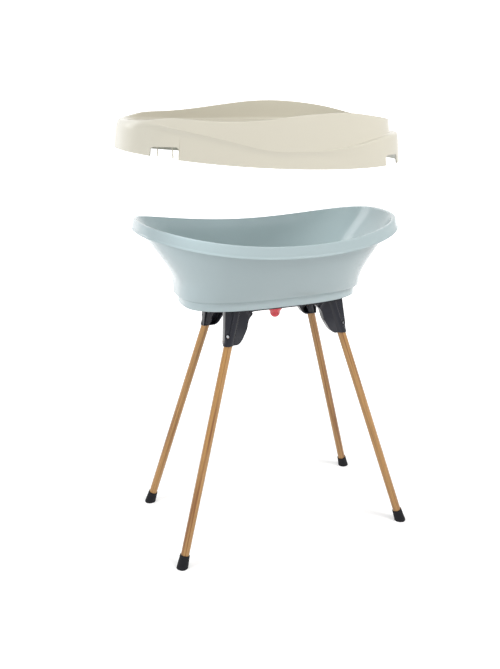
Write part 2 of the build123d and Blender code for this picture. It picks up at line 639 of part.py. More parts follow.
FOOT_REACH = (LEG_DIAMETER / 2 + CAP_WALL + CAP_FLARE) * sqrt(1 + LEG_RUN_X**2)
ORIGIN_X = (BOARD_FOOT_X - BOARD_SHIFT + FOOT_X + FOOT_REACH) / 2

os.makedirs("parts", exist_ok=True)
for name, solid in pieces().items():
    export_step(Pos(-ORIGIN_X, 0, 0) * solid, f"parts/{name}.step")
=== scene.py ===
import math

import bmesh
import bpy
import numpy as np
from bpy.props import FloatProperty, FloatVectorProperty, PointerProperty
from mathutils import Matrix, Vector


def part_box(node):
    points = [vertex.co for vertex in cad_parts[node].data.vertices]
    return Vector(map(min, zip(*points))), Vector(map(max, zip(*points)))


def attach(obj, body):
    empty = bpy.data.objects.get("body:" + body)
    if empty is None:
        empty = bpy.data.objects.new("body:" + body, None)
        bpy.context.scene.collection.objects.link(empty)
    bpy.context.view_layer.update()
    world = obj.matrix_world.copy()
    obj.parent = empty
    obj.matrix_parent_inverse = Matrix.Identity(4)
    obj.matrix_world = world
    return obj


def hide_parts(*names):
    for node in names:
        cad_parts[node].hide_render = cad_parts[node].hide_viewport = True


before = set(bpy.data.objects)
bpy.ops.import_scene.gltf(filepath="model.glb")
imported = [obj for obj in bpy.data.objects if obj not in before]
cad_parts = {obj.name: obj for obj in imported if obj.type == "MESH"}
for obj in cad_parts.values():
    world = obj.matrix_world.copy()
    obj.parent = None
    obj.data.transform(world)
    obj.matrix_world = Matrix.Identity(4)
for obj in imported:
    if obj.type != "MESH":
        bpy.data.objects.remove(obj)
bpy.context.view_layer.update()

bl_info = {
    "name": "Changing board with bath and stand",
    "version": (1, 0, 0),
    "blender": (4, 5, 0),
    "location": "3D View > Sidebar > Changing board",
    "description": "Dresses the packed changing board, bath and stand with its mouldings and finishes",
    "category": "Object",
}

TURN = 2 * math.pi

# How closely outlines are stepped: places along one, places in the search for a notch's ends, the
# closest two turns, passes in which a loop's outline and its heights settle on each other, the most
# of the way to the next loop that a rounding may take, and a length that keeps a division safe
OUTLINE_STEPS, NOTCH_SEARCH_STEPS, CLOSEST_TURNS, PASSES = 20001, 60001, 0.00004, 6
MOST_REACH, TINY = 0.46, 0.000000001

# The stand's middle and the drain's, read from the frame, in metres
STAND_X = (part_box("front_rail")[0].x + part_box("front_rail")[1].x) / 2
DRAIN_X = (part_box("cap_seal")[0].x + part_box("cap_seal")[1].x) / 2
CAP_TIP_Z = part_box("drain_cap")[0].z
CAP_LIP_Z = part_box("drain_cap")[1].z
CAP_SEAT_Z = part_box("cap_seal")[0].z
SPIGOT_END_Z, FLOOR_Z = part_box("drain_outlet")[0].z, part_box("drain_outlet")[1].z

# The bath, as in the part's source
TUB_X = STAND_X - 0.018
TUB_HALF_LENGTH, TUB_HALF_WIDTH = 0.400, 0.250
TUB_WALL = 0.003
RIM_LOW_Z, RIM_LOW_X, RIM_RADIUS = 0.949, STAND_X + 0.012, 1.540
APRON_HEIGHT, APRON_LEAN, ROLL_DEPTH, ROLL_HEIGHT = 0.034, 0.009, 0.0026, 0.007
TUB_POWER, BASE_POWER = 2.58, 2.9
BASE_Z, STEP_Z = 0.751, 0.778
BASE_HALF_LENGTH, BASE_HALF_WIDTH = 0.272, 0.141
RECESS_Z, BOSS_Z = FLOOR_Z - 0.0046, FLOOR_Z - 0.0076
TUB_LEVELS = np.array((
    # share of the way from the step to the rim's low point, then of the half length and half width
    (0.0, 0.712, 0.600), (0.25, 0.718, 0.716), (0.50, 0.766, 0.816),
    (0.75, 0.836, 0.902), (1.0, 0.906, 0.956), (1.40, 0.985, 0.985),
))
# Heights of the loops up the bath's side, inside and outside, and of the neck under its apron, as
# shares of the way from the step to the rim's low point
INSIDE_SHARES, OUTSIDE_SHARES, NECK_SHARE = np.linspace(0.25, 0.95, 12), np.linspace(0.90, 0.12, 14), 0.93
# Roundings in the order of the loops: from the drain's recess to the step inside, round the apron,
# and under the base
FLOOR_ROUNDS = (0.0006, 0.0012, 0.012, 0.006, 0.012)
APRON_ROUNDS = (0.006, 0.003, 0.0015, 0.001, 0.003, 0.003, 0.003)
BASE_ROUNDS = (0.009, 0.0025, 0.004, 0.0015, 0.001)
LOCATING_RIB_X, LOCATING_RIB_Y, LOCATING_RIB_LENGTH = 0.0726, 0.0745, 0.090
LOCATING_RIB_HEIGHT, LOCATING_RIB_WALL, LOCATING_RIB_SINK = 0.009, 0.003, 0.001

# The drain's outlet and cap, the play round the spigot and round a leg in its foot, and the small
# circles with which turned pieces close
FIT, DRAIN_POINTS = 0.0001, 96
SPIGOT_BORE, SPIGOT_RADIUS, FLANGE_RADIUS, FLANGE_HEIGHT = 0.017, 0.020, 0.031, 0.0025
COLLAR_RADIUS, COLLAR_HEIGHT = 0.0207, 0.010
DRAIN_CAP_RADIUS, DRAIN_CAP_WALL, NECK_LOOPS = 0.024, 0.003, 12
KNOB_RADIUS, KNOB_END_ANGLE, KNOB_LOOPS = 0.0155, 1.45, 9
DRAIN_ROUND, CLOSING_RADIUS, KNOB_CLOSING_RADIUS = 0.0008, 0.001, 0.0008

# The changing board where it sits on the bath, and how far it is lifted off
BOARD_LIFT = Vector((-0.022, 0.0, 0.235))
BOARD_X = TUB_X
BOARD_HALF_LENGTH, BOARD_HALF_WIDTH, BOARD_RISE, BOARD_WALL = 0.411, 0.261, 0.135, 0.003
BOARD_TOP_Z = RIM_LOW_Z + BOARD_RISE
BOARD_POWER = 2.6
SKIRT_LOW_Z, SKIRT_LOW_X, SKIRT_RADIUS = 0.913, STAND_X + 0.242, 4.0
# The skirt's and the wall's left end, right end and half width at their low height, and how far the
# draft draws each of them in by the top
SKIRT_LOW = (BOARD_X - BOARD_HALF_LENGTH - 0.0078, BOARD_X + BOARD_HALF_LENGTH, BOARD_HALF_WIDTH)
SKIRT_DRAFT = (0.0235, 0.0138, 0.020)
WALL_LOW = (STAND_X - 0.405, STAND_X + 0.364, 0.250)
WALL_DRAFT = (0.007, 0.012, 0.022)
# Places along the ridge and both crests as shares of the board's length and rise, and along the lying
# surface as a share of the length with its heights at the near wall, the middle and the far wall
RIDGE = ((-0.02, 0.630), (0.06, 0.660), (0.157, 0.556), (0.308, 0.326), (0.434, 0.148), (0.549, 0.119),
         (0.634, 0.122), (0.792, 0.252), (0.90, 0.345), (1.02, 0.363))
NEAR_CREST = ((0, 0.700), (0.062, 0.755), (0.232, 0.704), (0.33, 0.681), (0.427, 0.704), (0.524, 0.756),
              (0.622, 0.785), (0.707, 0.785), (0.792, 0.719), (0.95, 0.578), (1, 0.556))
FAR_CREST = ((0, 0.700), (0.094, 0.790), (0.269, 0.822), (0.378, 0.874), (0.488, 0.948), (0.603, 1),
             (0.719, 0.978), (0.798, 0.926), (0.877, 0.830), (0.962, 0.637), (1, 0.556))
TRAY = ((0, 0.715, 0.700, 0.715), (0.184, 0.640, 0.605, 0.640), (0.36, 0.590, 0.545, 0.600),
        (0.60, 0.560, 0.490, 0.590), (0.826, 0.520, 0.440, 0.560), (1, 0.455, 0.407, 0.470))
SEAT_RIBS = (0.085, 0.125, 0.30, 0.50, 0.70, 0.85)
TRAY_RIBS = (0.2, 0.4, 0.6, 0.8)
SEAT_RIB_WIDTH, SEAT_GAP, SIDE_PLAY, STRIP_OVERLAP, SEAT_RIB_LEVELS = 0.030, 0.0003, 0.002, 0.0005, 8
TRAY_RIB_HEIGHT, TRAY_RIB_POINTS = 0.009, 33
TRAY_SHARES = (0.03, 0.12, 0.24, 0.36, 0.48, 0.60, 0.70, 0.79, 0.87, 0.93)
UNDER_SHARES = (0.97, 0.9, 0.8, 0.65, 0.5, 0.35, 0.2, 0.05)
# The rounding over the foot end, the hollow and the ledge under the ridge, and the moulding's roundings
FOOT_ROUND_END, FOOT_ROUND_BLEND, FOOT_LIP, FOOT_START_SHARE = STAND_X - 0.325, 0.075, 0.012, 0.985
COVE_DROP, HEAD_DROP, LEDGE_SHARE = 0.013, 0.034, 0.15
LEDGE_START, LEDGE_BLEND, FULL_WALL, TRAY_LIP = 0.004, 0.012, 0.030, 0.0006
CREST_IN_ROUND, LOW_CREST_IN_ROUND, LOW_CREST_OUT_ROUND, HEAD_SHOULDER_ROUND = 0.0012, 0.010, 0.012, 0.010
COVE_ROUND, HEM_ROUND, UNDER_OUT_ROUND, UNDER_IN_ROUND = 0.026, 0.0009, 0.004, 0.003
OUTLINE_END = 0.999
# The notches in the hem, and how deep in a notch the closer turns across its end lie
SIDE_NOTCH_X, SIDE_NOTCH_HALF = STAND_X - 0.347, 0.031
HEAD_NOTCH_X, HEAD_NOTCH_Y = STAND_X + 0.278, 0.168
NOTCH_HEIGHT, NOTCH_ROUND = 0.027, 0.008
NOTCH_STEPS = (-0.0006, -0.00005, 0.00005, 0.0003, 0.001, 0.002, 0.0035, 0.005, 0.0065, 0.008)

# The legs, each on a line from the floor through its socket
FOOT_X, FOOT_Y, SOCKET_X, SOCKET_Y, SOCKET_Z = 0.370, 0.206, 0.1822, 0.1111, 0.645
LEG_RADIUS, LEG_LOW_Z, LEG_TOP_Z = 0.0125, 0.006, 0.742
LEG_LOOPS, LEG_END, GRAIN_SHIFT = 60, 0.010, (0.31, 0.17, 0.43)
FOOT_HEIGHT, FOOT_WALL, FOOT_FLARE = 0.038, 0.0025, 0.0025
FOOT_RINGS, RING_HALF_HEIGHT, RING_DEPTH = (0.031, 0.026, 0.021, 0.016, 0.011), 0.0012, 0.0007
FOOT_FLARE_END, FOOT_CUT, FOOT_ROUND = 0.003, -0.004, 0.001
CORNERS = {"front_left": (-1, -1), "front_right": (1, -1), "back_left": (-1, 1), "back_right": (1, 1)}

# Edges that a bevel softens, the least angle that stays sharp on a rail in degrees, and the distance
# within which the points of a rail's solid are joined
BATH_RIB_EDGE, BOARD_RIB_EDGE, RAIL_EDGE = 0.0006, 0.0005, 0.0009
RAIL_SHARP_ANGLE, JOIN_DISTANCE = 40, 0.00001

# Colours of the small parts, and the places of the Mix node's colour sockets
SEAL_COLOUR, STEEL_COLOUR, BRASS_COLOUR = (0.05, 0.05, 0.055), (0.36, 0.37, 0.39), (0.72, 0.52, 0.22)
MIX_LOW, MIX_HIGH, MIX_RESULT = 6, 7, 2

# The camera, fitted to the photograph's frame
CAMERA_PLACE, CAMERA_YAW, CAMERA_PITCH, CAMERA_ROLL = (-0.8248, -2.1346, 1.3791), 0.3513, 0.3178, -0.0085
FOCAL_PIXELS, FRAME_HEIGHT, SENSOR_HEIGHT, FARTHEST_SEEN = 775.8, 669, 36.0, 50.0

# The floor with its backdrop, how it glows between two distances, and the world's light on the object
# and as it is seen
FLOOR_FRONT_Y, FLOOR_BACK_Y, FLOOR_HALF_WIDTH, BACKDROP_ROUND, BACKDROP_TOP_Z = -6.0, 4.0, 9.0, 1.5, 7.0
GLOW_START, GLOW_END, GLOW_LOW, GLOW_HIGH = 0.4, 3.4, 0.34, 1.0
WORLD_STRENGTH, WORLD_SEEN = 0.36, 1.0

# Each lamp's place, the height it aims at, its size, power and colour, and whether a gloss mirrors it
LAMPS = {
    "key_lamp": ((1.5, -2.0, 3.2), 0.85, 1.3, 78.0, (1.0, 0.98, 0.96), False),
    "low_lamp": ((0.9, -3.0, 0.7), 0.85, 2.0, 20.0, (1.0, 0.99, 0.97), False),
    "side_lamp": ((-3.3, -0.5, 1.9), 0.85, 1.3, 66.0, (0.98, 0.99, 1.0), False),
    "top_lamp": ((-0.2, 1.6, 3.4), 0.85, 1.6, 14.0, (1.0, 1.0, 1.0), True),
    "window_lamp": ((-1.9, 1.75, 2.35), 0.85, 1.3, 9.0, (1.0, 1.0, 1.0), True),
    "bath_lamp": ((-0.12, -0.02, 1.125), 0.8, 0.5, 0.9, (0.94, 0.98, 1.0), False),
}


# Values and curves

def natural_curve(places, x):
    """Heights at x of the smooth curve through the places: a cubic between each two places whose
    slope and bend run on from one to the next, with no bend at its two ends."""
    places = np.asarray(places, float)
    at, high = places[:, 0], places[:, 1]
    step, rise = np.diff(at), np.diff(high)
    system = np.eye(len(at))
    right = np.zeros(len(at))
    inner = np.arange(1, len(at) - 1)
    system[inner, inner - 1], system[inner, inner + 1] = step[:-1], step[1:]
    system[inner, inner] = 2 * (step[:-1] + step[1:])
    right[1:-1] = 3 * (rise[1:] / step[1:] - rise[:-1] / step[:-1])
    bend = np.linalg.solve(system, right)
    k = np.clip(np.searchsorted(at, x) - 1, 0, len(step) - 1)
    u = np.clip(x, at[0], at[-1]) - at[k]
    slope = rise[k] / step[k] - step[k] * (2 * bend[k] + bend[k + 1]) / 3
    return high[k] + u * (slope + u * (bend[k] + u * (bend[k + 1] - bend[k]) / (3 * step[k])))


def superellipse(t, half_length, half_width, power):
    """Points of |x/a|^n + |y/b|^n = 1: x is a times the cosine of t to the power 2/n with its sign
    kept, and y is b times the sine of t in the same way."""
    c, s = np.cos(t), np.sin(t)
    across = half_width * np.sign(s) * np.abs(s) ** (2 / power)
    return half_length * np.sign(c) * np.abs(c) ** (2 / power), across


def even_turns(half_length, half_width, power, count):
    """Values of t that step evenly along the length of that outline."""
    t = np.linspace(0, TURN, OUTLINE_STEPS)
    x, y = superellipse(t, half_length, half_width, power)
    run = np.concatenate(([0], np.cumsum(np.hypot(np.diff(x), np.diff(y)))))
    return np.interp(np.linspace(0, run[-1], count, endpoint=False), run, t)


def swept(corners, shares):
    """Loops at the given shares of the quadratic curve from the first corner, towards the second,
    to the third: (1 - s)^2 a + 2 s (1 - s) k + s^2 b."""
    a, k, b = corners
    return [(1 - s) ** 2 * a + 2 * s * (1 - s) * k + s * s * b for s in shares]


def rounded(loops, radii, samples=6):
    """Loops with each inner one replaced by a rounded corner: a quadratic curve from a point one
    radius before the corner to a point one radius after it, where neither point is further off
    than the share MOST_REACH of the way to the neighbouring loop."""
    out = [loops[0]]
    for before, corner, after, radius in zip(loops, loops[1:], loops[2:], radii):
        back, ahead = before - corner, after - corner
        back_run = np.linalg.norm(back, axis=1) + TINY
        ahead_run = np.linalg.norm(ahead, axis=1) + TINY
        reach = np.minimum(np.minimum(radius, MOST_REACH * back_run), MOST_REACH * ahead_run)
        start = corner + back * (reach / back_run)[:, None]
        end = corner + ahead * (reach / ahead_run)[:, None]
        out += swept((start, corner, end), np.linspace(0, 1, samples))
    return out + [loops[-1]]


def make_mesh(name, points, *faces):
    """An object whose mesh has the points, and the faces of each whole-number array given."""
    mesh = bpy.data.meshes.new(name)
    corners = np.concatenate([face.ravel() for face in faces])
    sizes = np.concatenate([np.full(len(face), face.shape[1]) for face in faces])
    mesh.vertices.add(len(points))
    mesh.vertices.foreach_set("co", np.asarray(points, np.float32).ravel())
    mesh.loops.add(len(corners))
    mesh.loops.foreach_set("vertex_index", corners.astype(np.int32))
    mesh.polygons.add(len(sizes))
    mesh.polygons.foreach_set("loop_start", (np.cumsum(sizes) - sizes).astype(np.int32))
    mesh.polygons.foreach_set("loop_total", sizes.astype(np.int32))
    mesh.update(calc_edges=True)
    mesh.shade_smooth()
    if mesh.validate():
        raise RuntimeError(f"{name}: the mesh has bad faces")
    piece = bpy.data.objects.new(name, mesh)
    bpy.context.scene.collection.objects.link(piece)
    return piece


def skin_faces(rows, count, closed, start=0):
    """Quads between each two neighbouring loops of a grid of rows by count points."""
    index = start + np.arange(rows * count).reshape(rows, count)
    beside = np.roll(index, -1, axis=1)
    lower = np.roll(index, -1, axis=0), np.roll(beside, -1, axis=0)
    quads = np.stack([index, lower[0], lower[1], beside], -1)
    return quads.reshape(-1, 4) if closed else quads[:-1].reshape(-1, 4)


def skin(name, loops, closed=False):
    """The surface through a list of loops, closed by a point at each end unless the last loop
    meets the first. Loops run anticlockwise seen from above and come from the top, outwards."""
    grid = np.array(loops)
    rows, count = grid.shape[:2]
    quads = skin_faces(rows, count, closed)
    if closed:
        return make_mesh(name, grid.reshape(-1, 3), quads)
    ring = np.arange(count)
    poles = np.full(count, rows * count), np.full(count, rows * count + 1)
    first = np.stack([poles[0], ring, np.roll(ring, -1)], -1)
    last = (rows - 1) * count + np.stack([np.roll(ring, -1), ring, ring], -1)
    last[:, 2] = poles[1]
    points = np.concatenate([grid.reshape(-1, 3), [grid[0].mean(0)], [grid[-1].mean(0)]])
    return make_mesh(name, points, quads, first, last)


def blocks(name, sections):
    """Bars whose ends are four-cornered loops: each item of sections is a row of such loops,
    anticlockwise seen from the end of the row, and both ends are closed."""
    points, quads, start = [], [], 0
    for loops in sections:
        grid = np.array(loops)
        rows = len(grid)
        points.append(grid.reshape(-1, 3))
        quads.append(skin_faces(rows, 4, False, start)[:, ::-1])
        quads.append(np.array([[start + 3, start + 2, start + 1, start]]))
        quads.append(start + 4 * (rows - 1) + np.array([[0, 1, 2, 3]]))
        start += 4 * rows
    return make_mesh(name, np.concatenate(points), np.concatenate(quads))


def soften(piece, width, segments=2, angle=35):
    """Breaks every sharp edge with a small rounded bevel."""
    bevel = piece.modifiers.new("edges", "BEVEL")
    bevel.width, bevel.segments = width, segments
    bevel.limit_method, bevel.angle_limit = "ANGLE", math.radians(angle)
    bevel.use_clamp_overlap = False


# Materials

class Value:
    """A socket of a node. A sum or product with it adds a Math node and gives that node's result."""

    def __init__(self, finish, socket):
        self.finish, self.socket = finish, socket

    def math(self, operation, *values):
        """The result of a Math node on the values, which may be sockets or numbers."""
        return self.finish.node("ShaderNodeMath", {"operation": operation}, dict(enumerate(values)))

    def __add__(self, other):
        return self.math("ADD", self, other)

    def __mul__(self, other):
        return self.math("MULTIPLY", self, other)

    __radd__ = __add__
    __rmul__ = __mul__


class Finish:
    """One of the part's finishes: a material made of nodes round one main shader."""

    def __init__(self, name, **constants):
        self.material = bpy.data.materials.new(name)
        self.material.use_nodes = True
        self.tree = self.material.node_tree
        self.shader = self.tree.nodes["Principled BSDF"]
        for key, value in constants.items():
            self.shader.inputs[key.replace("_", " ")].default_value = value

    def node(self, kind, settings, inputs, output=0):
        """Adds a node of that kind with its settings, then fills its sockets. Gives one output."""
        made = self.tree.nodes.new(kind)
        for key, value in settings.items():
            if key == "stops":
                ramp = made.color_ramp
                for place, colour in value[len(ramp.elements):]:
                    ramp.elements.new(place)
                for stop, (place, colour) in zip(ramp.elements, value):
                    stop.position, stop.color = place, colour
            else:
                setattr(made, key, value)
        for key, value in inputs.items():
            self.join(made.inputs[key], value)
        return Value(self, made.outputs[output])

    def join(self, socket, value):
        """Links the socket to a Value, or sets it to a plain number or colour."""
        if isinstance(value, Value):
            self.tree.links.new(value.socket, socket)
        else:
            socket.default_value = value

    def feed(self, **values):
        """Joins each value to the main shader's socket of that name."""
        for key, value in values.items():
            self.join(self.shader.inputs[key.replace("_", " ")], value)

    def place(self):
        """The piece's own coordinates."""
        return self.node("ShaderNodeTexCoord", {}, {}, "Object")

    def noise(self, at, scale, detail=3.0, roughness=0.55):
        inputs = {"Vector": at, "Scale": scale, "Detail": detail, "Roughness": roughness}
        return self.node("ShaderNodeTexNoise", {}, inputs)

    def blend(self, factor, low, high):
        """The colour that is the factor's share of the way from low to high."""
        inputs = {"Factor": factor, MIX_LOW: low, MIX_HIGH: high}
        return self.node("ShaderNodeMix", {"data_type": "RGBA"}, inputs, MIX_RESULT)

    def bump(self, height, strength, distance):
        inputs = {"Height": height, "Strength": strength, "Distance": distance}
        return self.node("ShaderNodeBump", {}, inputs)


def toned(colour, factor):
    """The colour made lighter or darker by the factor, with full alpha."""
    return tuple(channel * factor for channel in colour[:3]) + (1.0,)


def moulded_plastic(name, colour, rough, grain, coat=0.0, specular=0.5):
    """Injection-moulded plastic: faint flow of tone, a fine eroded grain and patches a little duller."""
    made = Finish(name, Roughness=rough, Coat_Weight=coat, Coat_Roughness=0.05, IOR=1.49,
                  Specular_IOR_Level=specular)
    at = made.place()
    flow = made.noise(at, scale=5.0, detail=2.0)
    speck = made.noise(at, scale=900.0, detail=2.0)
    scuff = made.noise(at, scale=38.0, detail=5.0, roughness=0.7)
    tone = made.blend(flow, toned(colour, 0.99), toned(colour, 1.01))
    made.feed(Base_Color=tone, Roughness=rough - 0.02 + scuff * 0.02 + speck * 0.03)
    made.feed(Normal=made.bump(speck, strength=grain, distance=0.0002))
    return made.material


def leg_wood(name, colour):
    """Oiled beech: long growth bands along the leg, fine pores and the short flecks of its rays."""
    made = Finish(name, Roughness=0.42, Coat_Weight=0.35, Coat_Roughness=0.18, IOR=1.48)
    at = made.node("ShaderNodeAttribute", {"attribute_name": "along_leg"}, {}, "Vector")

    def stretched(along, across):
        """The leg's own axes with one scale along it and another across it."""
        return made.node("ShaderNodeMapping", {}, {"Vector": at, "Scale": (across, across, along)})

    wander = made.noise(stretched(along=3.0, across=26.0), scale=1.0, detail=2.0)
    rings = made.noise(stretched(along=1.6, across=130.0), scale=1.0, detail=3.0, roughness=0.6)
    pores = made.noise(stretched(along=90.0, across=1500.0), scale=1.0, detail=2.0)
    flecks = made.noise(stretched(along=260.0, across=900.0), scale=1.0, detail=1.0)
    late_wood = (0.52 * colour[0], 0.38 * colour[1], 0.24 * colour[2], 1.0)
    bands = made.node("ShaderNodeValToRGB", {"stops": (
        (0.39, late_wood), (0.47, toned(colour, 0.90)), (0.54, toned(colour, 1.12)),
        (0.63, toned(colour, 0.72)))}, {"Fac": rings * 0.8 + wander * 0.2})
    dark = made.node("ShaderNodeMapRange", {}, {
        "Value": flecks, "From Min": 0.60, "From Max": 0.72, "To Min": 0.0, "To Max": 0.45})
    tone = made.blend(dark, bands, toned(colour, 0.55))
    made.feed(Base_Color=tone, Roughness=0.36 + pores * 0.14)
    made.feed(Normal=made.bump(pores * 0.7 + rings * 0.3, strength=0.18, distance=0.0004))
    return made.material


def rubber(name, colour):
    """Moulded rubber: dull, with a dusty bloom and a fine rough skin."""
    made = Finish(name, Roughness=0.7, IOR=1.52, Specular_IOR_Level=0.25)
    at = made.place()
    bloom = made.noise(at, scale=60.0, detail=4.0, roughness=0.7)
    skin_grain = made.noise(at, scale=1400.0, detail=2.0)
    made.feed(Base_Color=made.blend(bloom, toned(colour, 0.8), toned(colour, 1.7)))
    made.feed(Roughness=0.58 + bloom * 0.22)
    made.feed(Normal=made.bump(skin_grain, strength=0.25, distance=0.0003))
    return made.material


def turned_metal(name, colour, rough):
    """Plated metal: fine scratches all over and duller patches."""
    made = Finish(name, Metallic=1.0, Roughness=rough)
    at = made.place()
    scratch = made.noise(at, scale=2200.0, detail=2.0)
    patch = made.noise(at, scale=140.0)
    made.feed(Base_Color=made.blend(patch, toned(colour, 0.85), toned(colour, 1.05)))
    made.feed(Roughness=rough - 0.06 + scratch * 0.12 + patch * 0.08)
    made.feed(Normal=made.bump(scratch, strength=0.12, distance=0.0002))
    return made.material


def give(piece, material, body):
    """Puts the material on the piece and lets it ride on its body."""
    piece.data.materials.clear()
    piece.data.materials.append(material)
    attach(piece, body)


def finish_node(name, material):
    """Puts the material on a solid of the frame that is shown as it is."""
    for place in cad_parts[name].material_slots:
        place.material = material


def finish_of(name, build, colour, **values):
    """The material of that name, made on first use."""
    return bpy.data.materials.get(name) or build(name, tuple(colour), **values)


# The bath

def rim_height(x):
    """Height of the rim's top: the low point plus the drop of a circle of the rim's radius."""
    return RIM_LOW_Z + RIM_RADIUS - np.sqrt(RIM_RADIUS**2 - (x - RIM_LOW_X) ** 2)


def stacked(x, y, z):
    """Points from their three coordinates. One number as z stands for a level loop."""
    return np.stack([x, y, np.broadcast_to(z, x.shape)], -1)


def tub_loop(t, inset, z, follow=0.0):
    """A loop round the bath's body, drawn in by inset. Its height is z plus the share `follow` of
    the rim's rise over its low point, and its half sizes come from the levels at that height."""
    shares, height = TUB_LEVELS[:, 0], np.full(t.shape, float(z))
    for _ in range(PASSES):
        level = (height - STEP_Z) / (RIM_LOW_Z - STEP_Z)
        power = BASE_POWER + np.clip(level, 0, 1) * (TUB_POWER - BASE_POWER)
        half_length = natural_curve(np.stack([shares, TUB_LEVELS[:, 1]], -1), level) * TUB_HALF_LENGTH
        half_width = natural_curve(np.stack([shares, TUB_LEVELS[:, 2]], -1), level) * TUB_HALF_WIDTH
        x, y = superellipse(t, half_length - inset, half_width - inset, power)
        height = z + follow * (rim_height(TUB_X + x) - RIM_LOW_Z)
    return stacked(TUB_X + x, y, height)


def apron_loop(t, inset, rise):
    """A loop of the rim's apron, drawn in by inset, at rise over the rim's arc."""
    x, y = superellipse(t, TUB_HALF_LENGTH - inset, TUB_HALF_WIDTH - inset, TUB_POWER)
    return stacked(TUB_X + x, y, rim_height(TUB_X + x) + rise)


def base_loop(t, inset, z):
    """A level loop of the base's outline, drawn in by inset."""
    x, y = superellipse(t, BASE_HALF_LENGTH - inset, BASE_HALF_WIDTH - inset, BASE_POWER)
    return stacked(TUB_X + x, y, z)


def drain_loop(t, radius, z):
    """A level circle round the drain's axis."""
    return stacked(DRAIN_X + radius * np.cos(t), radius * np.sin(t), z)


def bath_loops(sizes, count=320):
    """Loops of the bath's wall, from the drain's hole over the floor, up the inside, over the rim,
    down the outside and under the base back to the hole."""
    t = even_turns(TUB_HALF_LENGTH, TUB_HALF_WIDTH, TUB_POWER, count)
    wall, top = TUB_WALL, RIM_LOW_Z - TUB_WALL
    rise = RIM_LOW_Z - STEP_Z
    inner_step = STEP_Z + wall
    hole, recess = SPIGOT_RADIUS + FIT, FLANGE_RADIUS + FIT
    lower = rounded([
        drain_loop(t, hole, RECESS_Z), drain_loop(t, recess, RECESS_Z), drain_loop(t, recess, FLOOR_Z),
        base_loop(t, wall, FLOOR_Z), base_loop(t, wall, inner_step), tub_loop(t, wall, inner_step),
        tub_loop(t, wall, inner_step + INSIDE_SHARES[0] * rise, INSIDE_SHARES[0]),
    ], FLOOR_ROUNDS)
    inside = [tub_loop(t, wall, inner_step + s * (RIM_LOW_Z - inner_step), s) for s in INSIDE_SHARES[1:]]
    hem = -APRON_HEIGHT
    rim = rounded([
        inside[-1], tub_loop(t, wall, RIM_LOW_Z, 1.0), apron_loop(t, APRON_LEAN, 0.0),
        apron_loop(t, ROLL_DEPTH, hem + ROLL_HEIGHT), apron_loop(t, 0, hem + ROLL_HEIGHT / 2),
        apron_loop(t, 0, hem), apron_loop(t, wall, hem), apron_loop(t, ROLL_DEPTH + wall, hem + ROLL_HEIGHT),
        apron_loop(t, APRON_LEAN + wall, -wall), tub_loop(t, 0, top, 1.0),
        tub_loop(t, 0, STEP_Z + NECK_SHARE * rise, NECK_SHARE),
    ], [sizes.rim_inner_round, sizes.rim_outer_round, *APRON_ROUNDS])
    outside = [tub_loop(t, 0, STEP_Z + s * rise, s) for s in OUTSIDE_SHARES]
    foot = rounded([
        outside[-1], tub_loop(t, 0, STEP_Z), base_loop(t, 0, STEP_Z), base_loop(t, 0, BASE_Z),
        drain_loop(t, recess + wall, BASE_Z), drain_loop(t, recess + wall, BOSS_Z),
        drain_loop(t, hole, BOSS_Z),
    ], BASE_ROUNDS)
    return lower + inside + rim[1:] + outside + foot[1:]


def plate_ribs(name, places):
    """Thin upright plates: each place is (x0, x1, y0, y1, z0, z1)."""
    rows = []
    for x0, x1, y0, y1, z0, z1 in places:
        rows.append([[(x0, y0, z), (x1, y0, z), (x1, y1, z), (x0, y1, z)] for z in (z0, z1)])
    return blocks(name, rows)


# The changing board

def share_of_board(x):
    """How far along the board x is: 0 at its foot end and 1 at its head end."""
    return (x - (BOARD_X - BOARD_HALF_LENGTH)) / (2 * BOARD_HALF_LENGTH)


def place_on_board(share):
    """The x of a share of the board's length."""
    return BOARD_X + (2 * share - 1) * BOARD_HALF_LENGTH


def ridge_height(x, y):
    """The ridge between skirt and wall: the smooth curve through its places along the board."""
    return RIM_LOW_Z + BOARD_RISE * natural_curve(RIDGE, share_of_board(x))


def crest_height(x, y):
    """The near crest's height turning evenly into the far crest's from one side to the other."""
    share, across = share_of_board(x), (y + BOARD_HALF_WIDTH) / (2 * BOARD_HALF_WIDTH)
    near, far = natural_curve(NEAR_CREST, share), natural_curve(FAR_CREST, share)
    return RIM_LOW_Z + BOARD_RISE * (near + across * (far - near))


def tray_height(x, y):
    """The lying surface: at each place along it, the parabola across it through the heights at the
    near wall, the middle and the far wall."""
    share, across = share_of_board(x), y / BOARD_HALF_WIDTH
    table = np.array(TRAY)
    near, middle, far = (natural_curve(table[:, (0, k)], share) for k in (1, 2, 3))
    rise = middle + (far - near) / 2 * across + ((near + far) / 2 - middle) * across**2
    return RIM_LOW_Z + BOARD_RISE * rise


def rim_of_board(x, y):
    """The wall's top: the crest, or the lying surface where that runs out over the foot end."""
    return np.maximum(crest_height(x, y), tray_height(x, y) + TRAY_LIP)


def hem_height(x, y):
    """The skirt's lower edge: a circle's arc, lowest towards the head end."""
    return SKIRT_LOW_Z + SKIRT_RADIUS - np.sqrt(SKIRT_RADIUS**2 - (x - SKIRT_LOW_X) ** 2)


def notch_depths(x, y):
    """How far into a notch each place of the hem is: the side notches near the foot end, then the
    ones at the head corners. Outside them it is negative."""
    side = SIDE_NOTCH_HALF - np.abs(x - SIDE_NOTCH_X)
    return side, np.minimum(x - HEAD_NOTCH_X, np.abs(y) - HEAD_NOTCH_Y)


